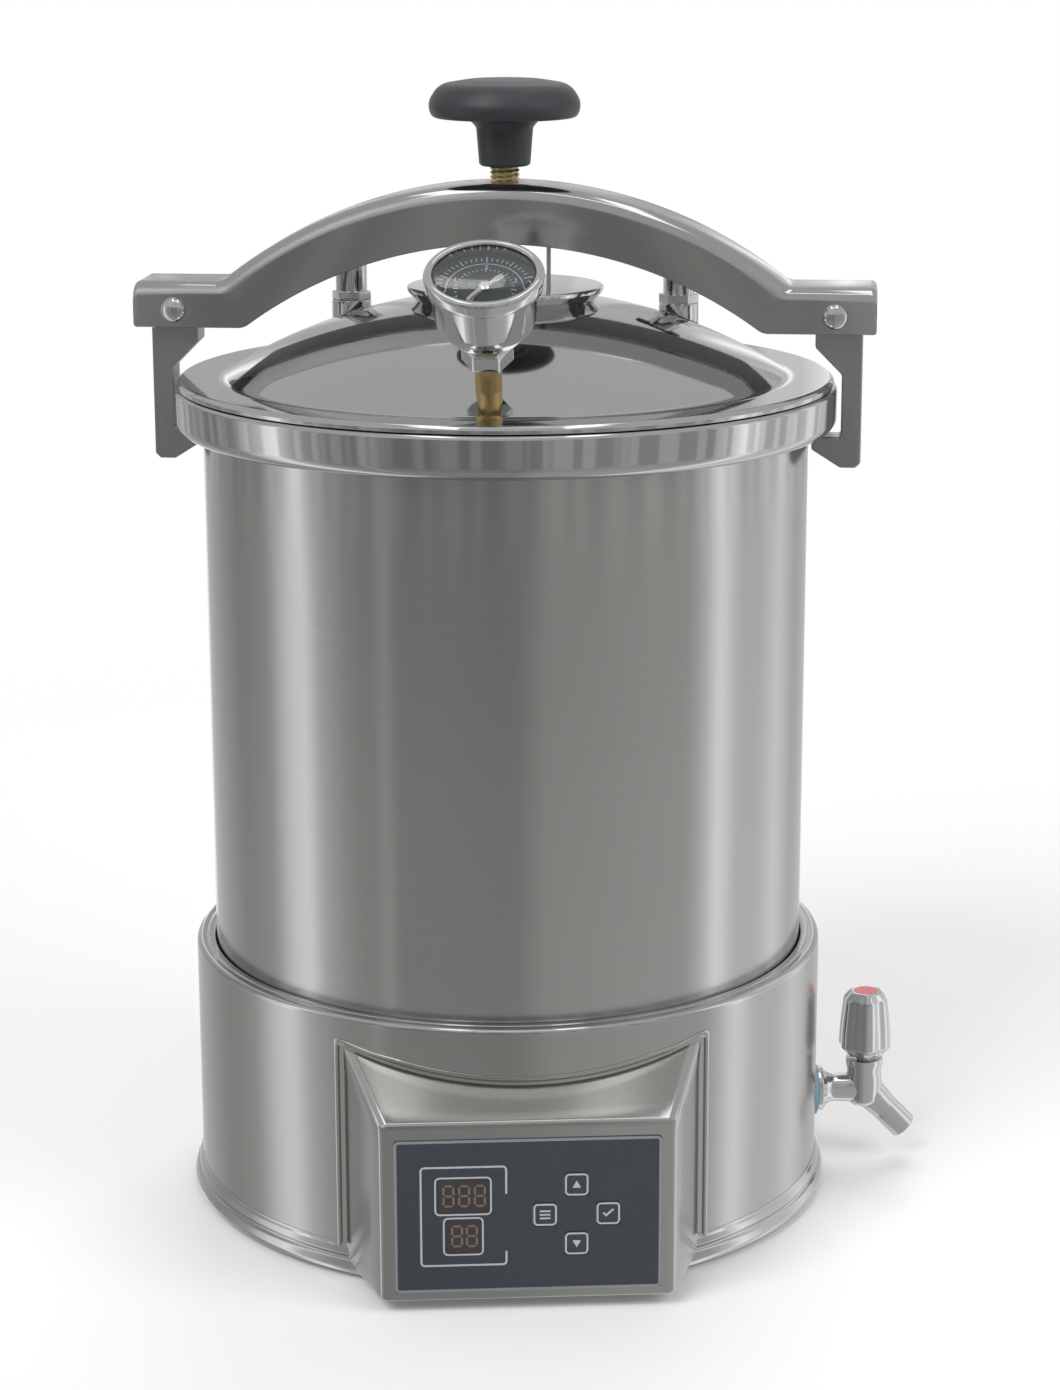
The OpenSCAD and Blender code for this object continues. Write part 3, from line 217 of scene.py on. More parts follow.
ROUND_LINES = (5, 5, 2600)
FINE_LINES = (900, 900, 900)
SATIN = steel("satin_steel", (0.49, 0.50, 0.485), 0.18, 0.75, ROUND_LINES, 0.05, 0.25)
DRUM_SATIN = steel("drum_steel", (0.48, 0.485, 0.47), 0.22, 0.6, ROUND_LINES, 0.04, 0.25)
MIRROR = steel("mirror_steel", (0.56, 0.565, 0.555), 0.06, 0.0, FINE_LINES, 0.02)
RIM = steel("rim_steel", (0.54, 0.545, 0.54), 0.05, 0.0, ROUND_LINES, 0.02)
YOKE_STEEL = steel("yoke_steel", (0.48, 0.475, 0.47), 0.12, 0.0, FINE_LINES, 0.05)
PANEL_STEEL = steel("panel_steel", (0.50, 0.505, 0.49), 0.14, 0.0, FINE_LINES, 0.05)
HOOK_STEEL = steel("hook_steel", (0.36, 0.36, 0.355), 0.33, 0.0, (700, 700, 60), 0.1, depth=0.00003)
INNER = steel("inner_steel", (0.45, 0.455, 0.45), 0.34, 0.5, ROUND_LINES, 0.06, 0.25)
CHROME = steel("chrome_plating", (0.63, 0.635, 0.64), 0.05, 0.0, FINE_LINES, 0.02)
BRASS = steel("turned_brass", (0.60, 0.43, 0.19), 0.22, 0.0, (40, 40, 3000), 0.08)
SCREW_METAL = steel("yellow_plating", (0.62, 0.53, 0.36), 0.2, 0.0, (40, 40, 3000), 0.08)
HEATER_METAL = steel("heater_tube", (0.24, 0.235, 0.22), 0.4, 0.0, FINE_LINES, 0.1)
print("materials so far:", len(bpy.data.materials))

# %% [markdown]
# Moulded plastic and rubber have a fine spark-eroded texture, which is a bump of small cells.
# The printed film of the panel is dark blue-grey with the slight sparkle of its textured top.

# %% Finishes: plastic, rubber and print


def moulded(name, shade, roughness, cell, depth, coat=0.0):
    made, wire, shader = new_finish(name, **{"Coat Weight": coat, "Coat Roughness": 0.15})
    grain = noise(wire, cell, 2.0, roughness=0.6)
    clouds = noise(wire, 14.0, 3.0)
    speck = noise(wire, cell * 0.35, 2.0)
    mixed = blend(wire, clouds * 0.5 + speck * 0.5, tone(shade, 0.75), tone(shade, 1.3))
    rough = roughness + (clouds - 0.5) * 0.16 + (speck - 0.5) * 0.14
    feed(wire, shader, Base_Color=mixed, Roughness=rough, Normal=bump(wire, grain, depth, 0.5))
    return made


KNOB_PLASTIC = moulded("knob_plastic", (0.022, 0.025, 0.030), 0.42, 1500.0, 0.00006)
INLET_PLASTIC = moulded("inlet_plastic", (0.015, 0.015, 0.017), 0.38, 1200.0, 0.00004)
RUBBER = moulded("foot_rubber", (0.018, 0.018, 0.018), 0.7, 900.0, 0.00006)
SEAL = moulded("seal_rubber", (0.16, 0.16, 0.165), 0.55, 700.0, 0.00004)
FILM = moulded("panel_film", (0.034, 0.041, 0.052), 0.46, 2600.0, 0.00004)
WINDOW = moulded("window_plastic", (0.038, 0.032, 0.032), 0.22, 600.0, 0.00001, 0.3)
DISPLAY = moulded("display_block", (0.05, 0.045, 0.045), 0.5, 900.0, 0.00002)
PRINT = moulded("print_grey", (0.36, 0.40, 0.44), 0.5, 2600.0, 0.00002)
FRAME_PRINT = moulded("print_border", (0.19, 0.21, 0.225), 0.4, 2600.0, 0.00002)
DIGIT = moulded("digit_segments", (0.16, 0.115, 0.105), 0.35, 1500.0, 0.00001)
BOARD = moulded("circuit_board", (0.02, 0.11, 0.05), 0.45, 500.0, 0.00003)
BOARD_PARTS = moulded("board_parts", (0.05, 0.05, 0.055), 0.5, 500.0, 0.00003)
DIAL = moulded("dial_face", (0.035, 0.045, 0.055), 0.62, 500.0, 0.000004)
DIAL_PRINT = moulded("dial_print", (0.55, 0.6, 0.62), 0.5, 1800.0, 0.00001)
NEEDLE = moulded("needle_paint", (0.66, 0.68, 0.68), 0.45, 1500.0, 0.00001)
RED_DISC = moulded("red_disc", (0.62, 0.045, 0.07), 0.3, 900.0, 0.00002, 0.3)
WASHER = moulded("washer_fibre", (0.20, 0.36, 0.50), 0.45, 900.0, 0.00003)
MILL = moulded("mill_steel", (0.46, 0.46, 0.45), 0.5, 900.0, 0.00002)
print("materials:", len(bpy.data.materials))

# %% [markdown]
# The gauge's glass is clear: transmission lets the dial show, and the shader itself gives the gloss.

# %% Finish: glass


def glass(name):
    made, wire, shader = new_finish(name, **{"Transmission Weight": 1.0, "IOR": 1.45})
    wipe = noise(wire, 90.0, 3.0)
    feed(wire, shader, Roughness=wipe * 0.04)
    return made


GLASS = glass("gauge_glass")
print("glass", GLASS.name)

# %% [markdown]
# The studio is a pale floor under a white sky, with three soft lamps. Steel shows whatever stands round
# it, so photographers put a shiny object in a tent of grey and white paper. The tent here glows with its
# own emitted light and is seen only in reflections: its grey front makes the dark middle of the pot, and
# its white sides make the bright streaks.

# %% Studio: floor and sky
FLOOR_R = 2.0
FLOOR_FADE = (0.5, 1.2)
SKY_LIGHT = 0.5
floor_mesh = bpy.data.meshes.new("floor")
bm = bmesh.new()
bmesh.ops.create_circle(bm, cap_ends=True, segments=96, radius=FLOOR_R)
bm.to_mesh(floor_mesh)
bm.free()
floor = bpy.data.objects.new("floor", floor_mesh)
scene.collection.objects.link(floor)
paper, wire, shader = new_finish("floor_paper", **{"Roughness": 0.9, "Specular IOR Level": 0.1})
feed(wire, shader, Base_Color=blend(wire, noise(wire, 3.0), (0.9, 0.9, 0.9, 1), (0.92, 0.92, 0.92, 1)))
spot = wire.node("ShaderNodeTexCoord", out="Object")
away = wire.node("ShaderNodeVectorMath", {"operation": "LENGTH"}, {0: spot}, out="Value")
fade = wire.node("ShaderNodeMapRange", {"interpolation_type": "SMOOTHSTEP"},
                 {"Value": away, "From Min": FLOOR_FADE[0], "From Max": FLOOR_FADE[1], "To Min": 1.0,
                  "To Max": 0.0})
feed(wire, shader, Alpha=fade)
floor.data.materials.append(paper)
floor.visible_glossy = False

sky = bpy.data.worlds.new("sky")
sky.use_nodes = True
sky.node_tree.nodes.clear()
wire = Wire(sky.node_tree)
path = wire.node("ShaderNodeLightPath", out="Is Camera Ray")
seen = path.math("MAXIMUM", path, path.math("MAXIMUM", path.also("Is Glossy Ray"),
                                            path.also("Is Transmission Ray")))
light = wire.node("ShaderNodeBackground", None, {"Color": (1, 1, 1, 1),
                                                 "Strength": SKY_LIGHT + seen * (1 - SKY_LIGHT)})
end = sky.node_tree.nodes.new("ShaderNodeOutputWorld")
sky.node_tree.links.new(light.socket, end.inputs["Surface"])
scene.world = sky
print("floor", FLOOR_R, "m, sky light", SKY_LIGHT)

# %% [markdown]
# Three large soft lamps stand round the object: the key at the left, a weaker fill at the right and one
# behind. Large lamps give soft shadows, and low power lets a colour render about as it is written.

# %% Studio: lamps


def lamp(name, place, target, size, watts):
    data = bpy.data.lights.new(name, "AREA")
    data.energy = watts
    data.size = size
    made = bpy.data.objects.new(name, data)
    made.location = place
    made.rotation_euler = (Vector(target) - Vector(place)).to_track_quat("-Z", "Y").to_euler()
    scene.collection.objects.link(made)


MIDDLE = (0, 0, 0.25)
lamp("key_lamp", (-1.5, -1.7, 2.3), MIDDLE, 1.5, 48)
lamp("fill_lamp", (1.9, -1.3, 1.7), MIDDLE, 1.6, 26)
lamp("back_lamp", (0.4, 1.9, 2.2), MIDDLE, 1.5, 24)
print("lamps:", len(bpy.data.lights))

# %% [markdown]
# Round pieces are turned: one outline goes once round an axis. In Geometry Nodes that is a grid with one
# row for each point of the outline, whose columns are bent round the axis. The tree has its outline, its
# number of segments, its start and its turn as inputs, and serves the pot, the base, the lid, the knob
# and many small pieces.

# %% Geometry Nodes: a tree that turns an outline


def new_tree(name, inputs):
    tree = bpy.data.node_groups.new(name, "GeometryNodeTree")
    for label, kind in inputs:
        tree.interface.new_socket(label, in_out="INPUT", socket_type=kind)
    tree.interface.new_socket("Geometry", in_out="OUTPUT", socket_type="NodeSocketGeometry")
    return tree, Wire(tree)


def close_tree(wire, shape, material):
    whole = wire.node("GeometryNodeRealizeInstances", None, {"Geometry": shape})
    painted = wire.node("GeometryNodeSetMaterial", None, {"Geometry": whole, "Material": material})
    end = wire.tree.nodes.new("NodeGroupOutput")
    wire.tree.links.new(painted.socket, end.inputs["Geometry"])


LATHE_INPUTS = [("Outline", "NodeSocketGeometry"), ("Segments", "NodeSocketInt"),
                ("Start", "NodeSocketFloat"),
                ("Turn", "NodeSocketFloat"), ("Lobes", "NodeSocketFloat"),
                ("Lobe Depth", "NodeSocketFloat"),
                ("Finish", "NodeSocketMaterial")]
LATHE, wire = new_tree("lathe", LATHE_INPUTS)
given = wire.node("NodeGroupInput", out="Outline")
segments = given.also("Segments")
count = wire.node("GeometryNodeAttributeDomainSize", None, {"Geometry": given}, out="Point Count")
grid = wire.node("GeometryNodeMeshGrid", None, {"Vertices X": segments + 1, "Vertices Y": count},
                 out="Mesh")
index = wire.node("GeometryNodeInputIndex")
column = index.math("FLOOR", index / count)
here = wire.node("GeometryNodeInputPosition")
sampled = wire.node("GeometryNodeSampleIndex", {"data_type": "FLOAT_VECTOR"},
                    {"Geometry": given, "Value": here, "Index": index % count})
apart = wire.node("ShaderNodeSeparateXYZ", None, {0: sampled})
angle = given.also("Start") + column / segments * given.also("Turn")
lobe = angle.math("COSINE", angle * given.also("Lobes"))
radius = apart * (1 - given.also("Lobe Depth") * (0.5 + 0.5 * lobe))
bent = wire.node("ShaderNodeCombineXYZ", None, {0: radius * angle.math("COSINE", angle),
                                                1: radius * angle.math("SINE", angle),
                                                2: apart.also("Z")})
turned_grid = wire.node("GeometryNodeSetPosition", None, {"Geometry": grid, "Position": bent})
welded = wire.node("GeometryNodeMergeByDistance", None, {"Geometry": turned_grid, "Distance": WELD})
close_tree(wire, welded, given.also("Finish"))
print("tree", LATHE.name, "with", len(LATHE.nodes), "nodes")

# %% [markdown]
# A tree's result is still live. These helpers set its inputs, take the finished shape as a plain mesh and
# remove the modifier, because only plain meshes ride on a body and go out with the model.

# %% Helpers: plain meshes from trees


def identifier(tree, label):
    return next(
        i.identifier for i in tree.interface.items_tree if i.name == label and i.in_out == "INPUT")


def place_object(name, mesh):
    made = bpy.data.objects.new(name, mesh)
    scene.collection.objects.link(made)
    return made


def soften(mesh, sharp=38.0, outward=True):
    bm = bmesh.new()
    bm.from_mesh(mesh)
    bmesh.ops.remove_doubles(bm, verts=bm.verts, dist=1e-7)
    if outward:
        bmesh.ops.recalc_face_normals(bm, faces=bm.faces)
    bm.to_mesh(mesh)
    bm.free()
    mesh.shade_smooth()
    mesh.set_sharp_from_angle(angle=radians(sharp))


def grown(name, tree, values, start=None):
    source = place_object(name + "_start", start or bpy.data.meshes.new(name + "_start"))
    modifier = source.modifiers.new("tree", "NODES")
    modifier.node_group = tree
    for label, value in values.items():
        modifier[identifier(tree, label)] = value
    graph = bpy.context.evaluated_depsgraph_get()
    mesh = bpy.data.meshes.new_from_object(source.evaluated_get(graph))
    mesh.name = name
    old = source.data
    bpy.data.objects.remove(source)
    bpy.data.meshes.remove(old)
    return mesh


print("tree helpers ready")

# %% [markdown]
# An outline is a list of corners in millimetres, and a third number at a corner is the radius of its
# round. Turned pieces start from such an outline, as a turner starts from a drawing of the half section.

# %% Helpers: outlines and turned pieces


def line_mesh(name, points):
    mesh = bpy.data.meshes.new(name)
    mesh.from_pydata([(x * MM, 0, z * MM) for x, z in points],
                     [(i, i + 1) for i in range(len(points) - 1)], [])
    return mesh


def rounded(corners, steps=7, closed=False):
    points = []
    last = len(corners) - 1
    for i, corner in enumerate(corners):
        r = corner[2] if len(corner) > 2 else 0
        here = Vector(corner[:2])
        if r == 0 or (not closed and i in (0, last)):
            points.append(tuple(here))
            continue
        before = (Vector(corners[i - 1][:2]) - here).normalized()
        after = (Vector(corners[(i + 1) % len(corners)][:2]) - here).normalized()
        half = before.angle(after) / 2
        middle = here + (before + after).normalized() * (r / sin(half))
        first = here + before * (r / tan(half)) - middle
        swing = first.angle_signed(here + after * (r / tan(half)) - middle)
        for k in range(steps + 1):
            points.append(tuple(middle + Matrix.Rotation(-swing * k / steps, 2) @ first))
    return points + points[:1] if closed else points


def turned(name, outline, finish, segments=128, start=0.0, turn=tau, lobes=0.0, lobe_depth=0.0):
    values = {"Segments": segments, "Start": start, "Turn": turn, "Lobes": lobes,
              "Lobe Depth": lobe_depth,
              "Finish": finish}
    mesh = grown(name, LATHE, values, line_mesh(name + "_outline", outline))
    soften(mesh)
    return mesh


print("outline helpers ready")

# %% [markdown]
# Small shapes that are one piece on the real object are joined into one mesh. A finished piece is then
# put on the body that carries it and stands in for the drawn solids that it replaces.

# %% Helpers: joining and placing


def joined(name, *meshes):
    bm = bmesh.new()
    finishes = []
    for mesh in meshes:
        offset = len(finishes)
        before = len(bm.faces)
        bm.from_mesh(mesh)
        bm.faces.ensure_lookup_table()
        finishes.extend(mesh.materials)
        for face in bm.faces[before:]:
            face.material_index += offset
    made = bpy.data.meshes.new(name)
    bm.to_mesh(made)
    bm.free()
    for finish in finishes:
        made.materials.append(finish)
    for mesh in meshes:
        bpy.data.meshes.remove(mesh)
    return made


def moved(mesh, matrix):
    mesh.transform(matrix)
    return mesh


def put(name, mesh, body, slot, *nodes):
    made = place_object(name, mesh)
    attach(made, body)
    if nodes:
        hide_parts(*nodes)
    return made


print("helpers ready")

# %% [markdown]
# The tent round the object is turned too. It is stage that glows with its own emitted light, seen in
# reflections only: glowing grey paper in front, white stripes at the sides that the pot draws out into
# streaks, and a grey roof. It reaches below the floor, so that the streaks run straight down to the foot
# of the base. Narrow glowing patches give the polished rims something to show. Three bright strips under
# its ceiling, one at each side and one in front, put highlights on the upper edges.

# %% Studio: reflection tent
TENT = [(0, -420), (480, -400), (560, -300), (560, 900), (430, 1250), (150, 1400), (0, 1420)]
WALL_STOPS = [(0.0, 0.6), (0.058, 0.6), (0.068, 1.5), (0.078, 0.6), (0.14, 0.46), (0.19, 0.32),
              (0.24, 0.42), (0.268, 0.95),
              (0.29, 1.15), (0.308, 0.6), (0.34, 0.36), (0.366, 0.3), (0.379, 0.42), (0.39, 0.27),
              (0.44, 0.27),
              (0.50, 0.265), (0.528, 0.385), (0.60, 0.42), (0.67, 0.46), (0.69, 0.72), (0.708, 1.25),
              (0.735, 0.75),
              (0.77, 0.74), (0.805, 1.0), (0.85, 0.56),
              (0.916, 0.6), (0.926, 1.3), (0.936, 0.6), (1.0, 0.6)]
ROOF_SHADE = (0.56, 0.57, 0.56, 1)
TUBE_SHADE = (2.2, 2.2, 2.2, 1)
PATCHES_FROM, WALLS_END, ROOF_FROM = (0.25, 0.275), 0.22, (0.5, 0.62)
SIDE_TUBE, SIDE_TUBE_HALF, SIDE_TUBE_END = 0.26, 0.06, 0.2
FRONT_TUBE, FRONT_TUBE_HALF, TUBES_ABOVE = -0.33, 0.035, 1.15
wall_tints = [(place, (v, v * 1.005, v * (0.95 + 0.07 * v))) for place, v in WALL_STOPS]
glowing_tent = bpy.data.materials.new("glowing_tent")
glowing_tent.use_nodes = True
glowing_tent.node_tree.nodes.clear()
wire = Wire(glowing_tent.node_tree)
spot = wire.node("ShaderNodeSeparateXYZ", None, {0: wire.node("ShaderNodeTexCoord", out="Object")})
around = spot.math("ARCTAN2", spot, 0 - spot.also("Y")) / tau + 0.5
walls = wire.node("ShaderNodeValToRGB", {"stops": wall_tints}, {"Fac": around})
patches = wire.node("ShaderNodeTexNoise", {"noise_dimensions": "1D"},
                    {"W": around, "Scale": 55.0, "Detail": 1.0})
patches = wire.node("ShaderNodeMapRange", {"interpolation_type": "SMOOTHSTEP"},
                    {"Value": patches, "From Min": 0.44, "From Max": 0.56, "To Min": 0.8, "To Max": 1.15})
band = wire.node("ShaderNodeMapRange", {"interpolation_type": "SMOOTHSTEP"},
                 {"Value": spot.also("Z"), "From Min": PATCHES_FROM[0], "From Max": PATCHES_FROM[1]})
walls = wire.node("ShaderNodeVectorMath", {"operation": "SCALE"},
                  {0: walls, "Scale": 1 + (patches - 1) * band})
lift = wire.node("ShaderNodeMapRange", None,
                 {"Value": spot.also("Z"), "From Min": WALLS_END, "From Max": 0.0, "To Min": 0.0,
                  "To Max": 0.06})
walls = wire.node("ShaderNodeVectorMath", {"operation": "ADD"}, {0: walls, 1: lift})
height = wire.node("ShaderNodeMapRange", {"interpolation_type": "SMOOTHSTEP"},
                   {"Value": spot.also("Z"), "From Min": ROOF_FROM[0], "From Max": ROOF_FROM[1]})
shade = blend(wire, height, walls, ROOF_SHADE)
along = spot.also("Y")
across = spot.math("ABSOLUTE", spot)
beside = spot.math("COMPARE", across, SIDE_TUBE, SIDE_TUBE_HALF) * spot.math("LESS_THAN", along,
                                                                             SIDE_TUBE_END)
ahead = spot.math("COMPARE", along, FRONT_TUBE, FRONT_TUBE_HALF)
tubes = spot.math("MAXIMUM", beside, ahead) * spot.math("GREATER_THAN", spot.also("Z"), TUBES_ABOVE)
shade = blend(wire, tubes, shade, TUBE_SHADE)
# The tent's shades and strips are emitted light: nothing lights the tent, it glows, and only reflections
# show it.
glow = wire.node("ShaderNodeEmission", None, {"Color": shade, "Strength": 1.0})
end = glowing_tent.node_tree.nodes.new("ShaderNodeOutputMaterial")
glowing_tent.node_tree.links.new(glow.socket, end.inputs["Surface"])
tent = place_object("reflection_tent", turned("reflection_tent", TENT, glowing_tent, 96))
tent.visible_camera = False
tent.visible_diffuse = False
tent.visible_shadow = False
tent.visible_transmission = False
tent.visible_volume_scatter = False
print("tent", len(tent.data.polygons), "faces")

# %% [markdown]
# The pot is deep-drawn from sheet: a straight wall, a rounded foot and a flat floor. Its flange is a
# solid ring with a soft lower edge, where the hooks grip, and a bright upper edge.

# %% Pot and flange
POT_R, POT_WALL, POT_LOW, POT_TOP, POT_CORNER = 142.5, 2, 99.5, 394.5, 14
FLANGE_R, FLANGE_LOW = 155.5, 374.5
pot_line = rounded([(0, POT_LOW), (POT_R, POT_LOW, POT_CORNER), (POT_R, POT_TOP - 0.4),
                    (POT_R - POT_WALL, POT_TOP - 0.4), (POT_R - POT_WALL, POT_LOW + POT_WALL,
                                                        POT_CORNER - POT_WALL),
                    (0, POT_LOW + POT_WALL)], 10)
put("pot_shell", turned("pot_shell", pot_line, SATIN, 192), "base", "steel", "pot")
flange_line = rounded([(POT_R, FLANGE_LOW), (FLANGE_R, FLANGE_LOW, 5.4), (FLANGE_R, POT_TOP, 2.6),
                       (POT_R, POT_TOP)], 8, True)
put("flange_ring", turned("flange_ring", flange_line, RIM, 192), "base", "steel", "pot_flange")
print("pot", POT_R * 2, "mm wide, flange", FLANGE_R * 2)

# %% [markdown]
# The base is a drum of sheet steel. Its top edge is rolled, its shoulder dips a little, and a rolled lip
# stands round the pot. A ring with two beads covers its lower edge.

# %% Base drum and its ring
BASE_R, BASE_TOP, FOOT_H, SHEET = 152, 126.5, 3, 1.2
COLLAR_R, COLLAR_DEEP = 142.9, 8
drum_line = rounded([(BASE_R, FOOT_H), (BASE_R, BASE_TOP, 2.8), (147.0, BASE_TOP - 0.5, 0.8),
                     (146.2, BASE_TOP, 0.6),
                     (COLLAR_R, BASE_TOP, 1.4), (COLLAR_R, BASE_TOP - COLLAR_DEEP),
                     (COLLAR_R + SHEET, BASE_TOP - COLLAR_DEEP),
                     (COLLAR_R + SHEET, BASE_TOP - 2.4), (BASE_R - SHEET, BASE_TOP - 2.4, 1.2),
                     (BASE_R - SHEET, FOOT_H)], 7, True)
drum_mesh = turned("base_drum", drum_line, DRUM_SATIN, 192)
drum_mesh.materials.clear()
drum_mesh.materials.append(DRUM_SATIN)
drum_mesh.materials.append(RIM)
for face in drum_mesh.polygons:
    face.material_index = int(face.center.z > (BASE_TOP - 3.0) * MM)
put("base_drum", drum_mesh, "base", "steel", "base_shell")
RING_GAP = radians(28.6)
ring_line = rounded([(BASE_R - 0.2, FOOT_H), (BASE_R + 3.2, FOOT_H, 0.8),
                     (BASE_R + 4.1, FOOT_H + 2.6, 2.0),
                     (BASE_R + 2.9, FOOT_H + 5.8, 1.8), (BASE_R + 1.3, FOOT_H + 6.6, 0.7),
                     (BASE_R + 2.1, FOOT_H + 8.6, 1.2),
                     (BASE_R + 1.2, FOOT_H + 11, 1.2), (BASE_R + 0.4, FOOT_H + 12, 0.6),
                     (BASE_R + 0.3, FOOT_H + 13, 0.2),
                     (BASE_R - 0.2, FOOT_H + 13)], 6, True)
put("base_beads", turned("base_beads", ring_line, RIM, 180, RING_GAP - pi / 2, tau - 2 * RING_GAP),
    "base", "steel",
    "base_ring")
print("drum", BASE_R * 2, "mm wide,", BASE_TOP, "mm high")

# %% [markdown]
# The lid is pressed from one sheet: a shallow dome, a valley, a raised channel that holds the seal, and a
# flat rim. The dome is part of a sphere, so its outline is one arc, and small rounds join it to the rest.

# %% Lid
LID_TURN = Matrix.Rotation(radians(-9), 4, "Z")
RIM_LOW, LID_T, DOME_EDGE, DOME_RISE = 395.5, 2.5, 134, 38.5
RIM_TOP = RIM_LOW + LID_T
DOME_TOP = RIM_TOP + DOME_RISE
DOME_R = (DOME_EDGE ** 2 + DOME_RISE ** 2) / (2 * DOME_RISE)
DOME_MID = DOME_TOP - DOME_R


def dome_z(r):
    return DOME_MID + sqrt(DOME_R ** 2 - r ** 2)


DOME_STEPS = 36
DOME_REACH = 126
dome_line = [(DOME_REACH * i / DOME_STEPS,
              dome_z(DOME_REACH * i / DOME_STEPS)) for i in range(DOME_STEPS + 1)]
edge_line = [(133.4, RIM_TOP + 0.2, 10), (152.4, RIM_TOP + 0.5, 2.2), (154, RIM_TOP - 1.4, 1.2),
             (154, RIM_LOW - 0.7, 0.5),
             (149.2, RIM_LOW - 0.7, 0.3), (149.0, RIM_LOW + 1.4, 0.7), (140.0, RIM_LOW + 1.4, 0.7),
             (139.8, RIM_LOW - 0.7, 0.3), (133.6, RIM_LOW - 0.6, 5)]
under_line = [(x, z - LID_T) for x, z in reversed(dome_line)]
lid_line = rounded(dome_line + edge_line + under_line, 8)
put("lid_dome", turned("lid_dome", lid_line, MIRROR, 224), "lid", "steel", "lid")
seal_line = rounded([(140.6, RIM_LOW - 1, 0.6), (148.4, RIM_LOW - 1, 0.6), (148.4, RIM_LOW + 1.2, 0.8),
                     (140.6, RIM_LOW + 1.2, 0.8)], 4, True)
put("seal_ring", turned("seal_ring", seal_line, SEAL, 160), "lid", "seal", "gasket")
pad_line = rounded([(0, 440), (46, 440, 1.1), (45.8, 437.6, 1.6), (40.5, 431.6, 1.0), (0, 431.6)], 6)
put("pressure_plate", moved(turned("pressure_plate", pad_line, CHROME, 128), LID_TURN), "lid", "steel",
    "pressure_pad")
print("dome radius", round(DOME_R, 1), "mm")

# %% [markdown]
# The knob is a moulded mushroom: a flat crown, a full edge and a tapered neck. Its outline is a few
# corners with large rounds.

# %% Knob
knob_line = rounded([(0, 535), (17, 534.4, 30), (30.6, 532.2, 10), (35.9, 523.4, 8), (33.6, 517.2, 3.2),
                     (16.4, 516.2, 2.6),
                     (13.2, 512.6, 3), (11.9, 495.9, 1.0), (10.6, 495, 0.6), (0, 495)], 9)
put("knob_cap", turned("knob_cap", knob_line, KNOB_PLASTIC, 128), "screw", "black_plastic", "knob")
print("knob outline", len(knob_line), "points")

# %% [markdown]
# A thread could be cut with a Screw modifier. Here it is a grid bent round an axis, as in the lathe tree,
# with a ridge that climbs one pitch in each turn, because its pitch and depth then stay plain inputs.

# %% Geometry Nodes: a thread
THREAD_INPUTS = [("Radius", "NodeSocketFloat"), ("Depth", "NodeSocketFloat"),
                 ("Pitch", "NodeSocketFloat"),
                 ("Low", "NodeSocketFloat"), ("Length", "NodeSocketFloat"),
                 ("Finish", "NodeSocketMaterial")]
THREAD, wire = new_tree("thread", THREAD_INPUTS)
given = wire.node("NodeGroupInput", out="Radius")
ROUND_STEPS = 48
STEPS_PER_TURN = 10
rows = given.math("CEIL", given.also("Length") / given.also("Pitch") * STEPS_PER_TURN) + 1
grid = wire.node("GeometryNodeMeshGrid", None, {"Vertices X": ROUND_STEPS + 1, "Vertices Y": rows},
                 out="Mesh")
index = wire.node("GeometryNodeInputIndex")
column = index.math("FLOOR", index / rows)
angle = column * (tau / ROUND_STEPS)
rise = (index % rows) / (rows - 1) * given.also("Length")
wave = angle.math("PINGPONG", rise / given.also("Pitch") - column / ROUND_STEPS + 1, 0.5)
crest = given - given.also("Depth") * (1 - 2 * wave)
bent = wire.node("ShaderNodeCombineXYZ", None, {0: crest * angle.math("COSINE", angle),
                                                1: crest * angle.math("SINE", angle),
                                                2: given.also("Low") + rise})
shaped = wire.node("GeometryNodeSetPosition", None, {"Geometry": grid, "Position": bent})
welded = wire.node("GeometryNodeMergeByDistance", None, {"Geometry": shaped, "Distance": WELD})
close_tree(wire, welded, given.also("Finish"))


def thread(name, radius, depth, pitch, low, length, finish):
    sizes = {"Radius": radius, "Depth": depth, "Pitch": pitch, "Low": low, "Length": length}
    mesh = grown(name, THREAD, {**{k: v * MM for k, v in sizes.items()}, "Finish": finish})
    bm = bmesh.new()
    bm.from_mesh(mesh)
    bmesh.ops.holes_fill(bm, edges=[e for e in bm.edges if e.is_boundary])
    bm.to_mesh(mesh)
    bm.free()
    soften(mesh, 60)
    return mesh


print("tree", THREAD.name, "with", len(THREAD.nodes), "nodes")

# %% [markdown]
# The clamp screw is yellow plated, with a thread of two millimetres, a collar that presses on the pad
# and a plain tip in the pad's socket.

# %% Clamp screw
screw_thread = thread("screw_thread", 7.0, 0.9, 2.0, 446, 50, SCREW_METAL)
collar_line = rounded([(0, 437.4), (6.9, 437.4, 0.5), (6.9, 440.3), (11, 440.3, 0.8), (11, 445.3, 0.8),
                       (6.5, 445.4),
                       (6.5, 446.5), (0, 446.5)], 5)
screw_mesh = joined("clamp_spindle", screw_thread, turned("screw_collar", collar_line, SCREW_METAL, 64))
soften(screw_mesh, 40, False)
put("clamp_spindle", screw_mesh, "screw", "screw_metal", "clamp_screw")
print("thread faces", len(screw_mesh.polygons))

# %% [markdown]
# The yoke is a channel of thick sheet, bent to an arch with flat ends. Its top line and its lower line
# are two rounded outlines with the same number of points, and a U-shaped section with soft top edges
# spans them.

# %% Yoke
YOKE_HALF, YOKE_W, YOKE_WALL = 173, 40, 2.5
ARCH_MID, ARCH_R = 276, 212
UNDER_MID, UNDER_R = 258, 203
END_TOP, END_LOW = 442, 421


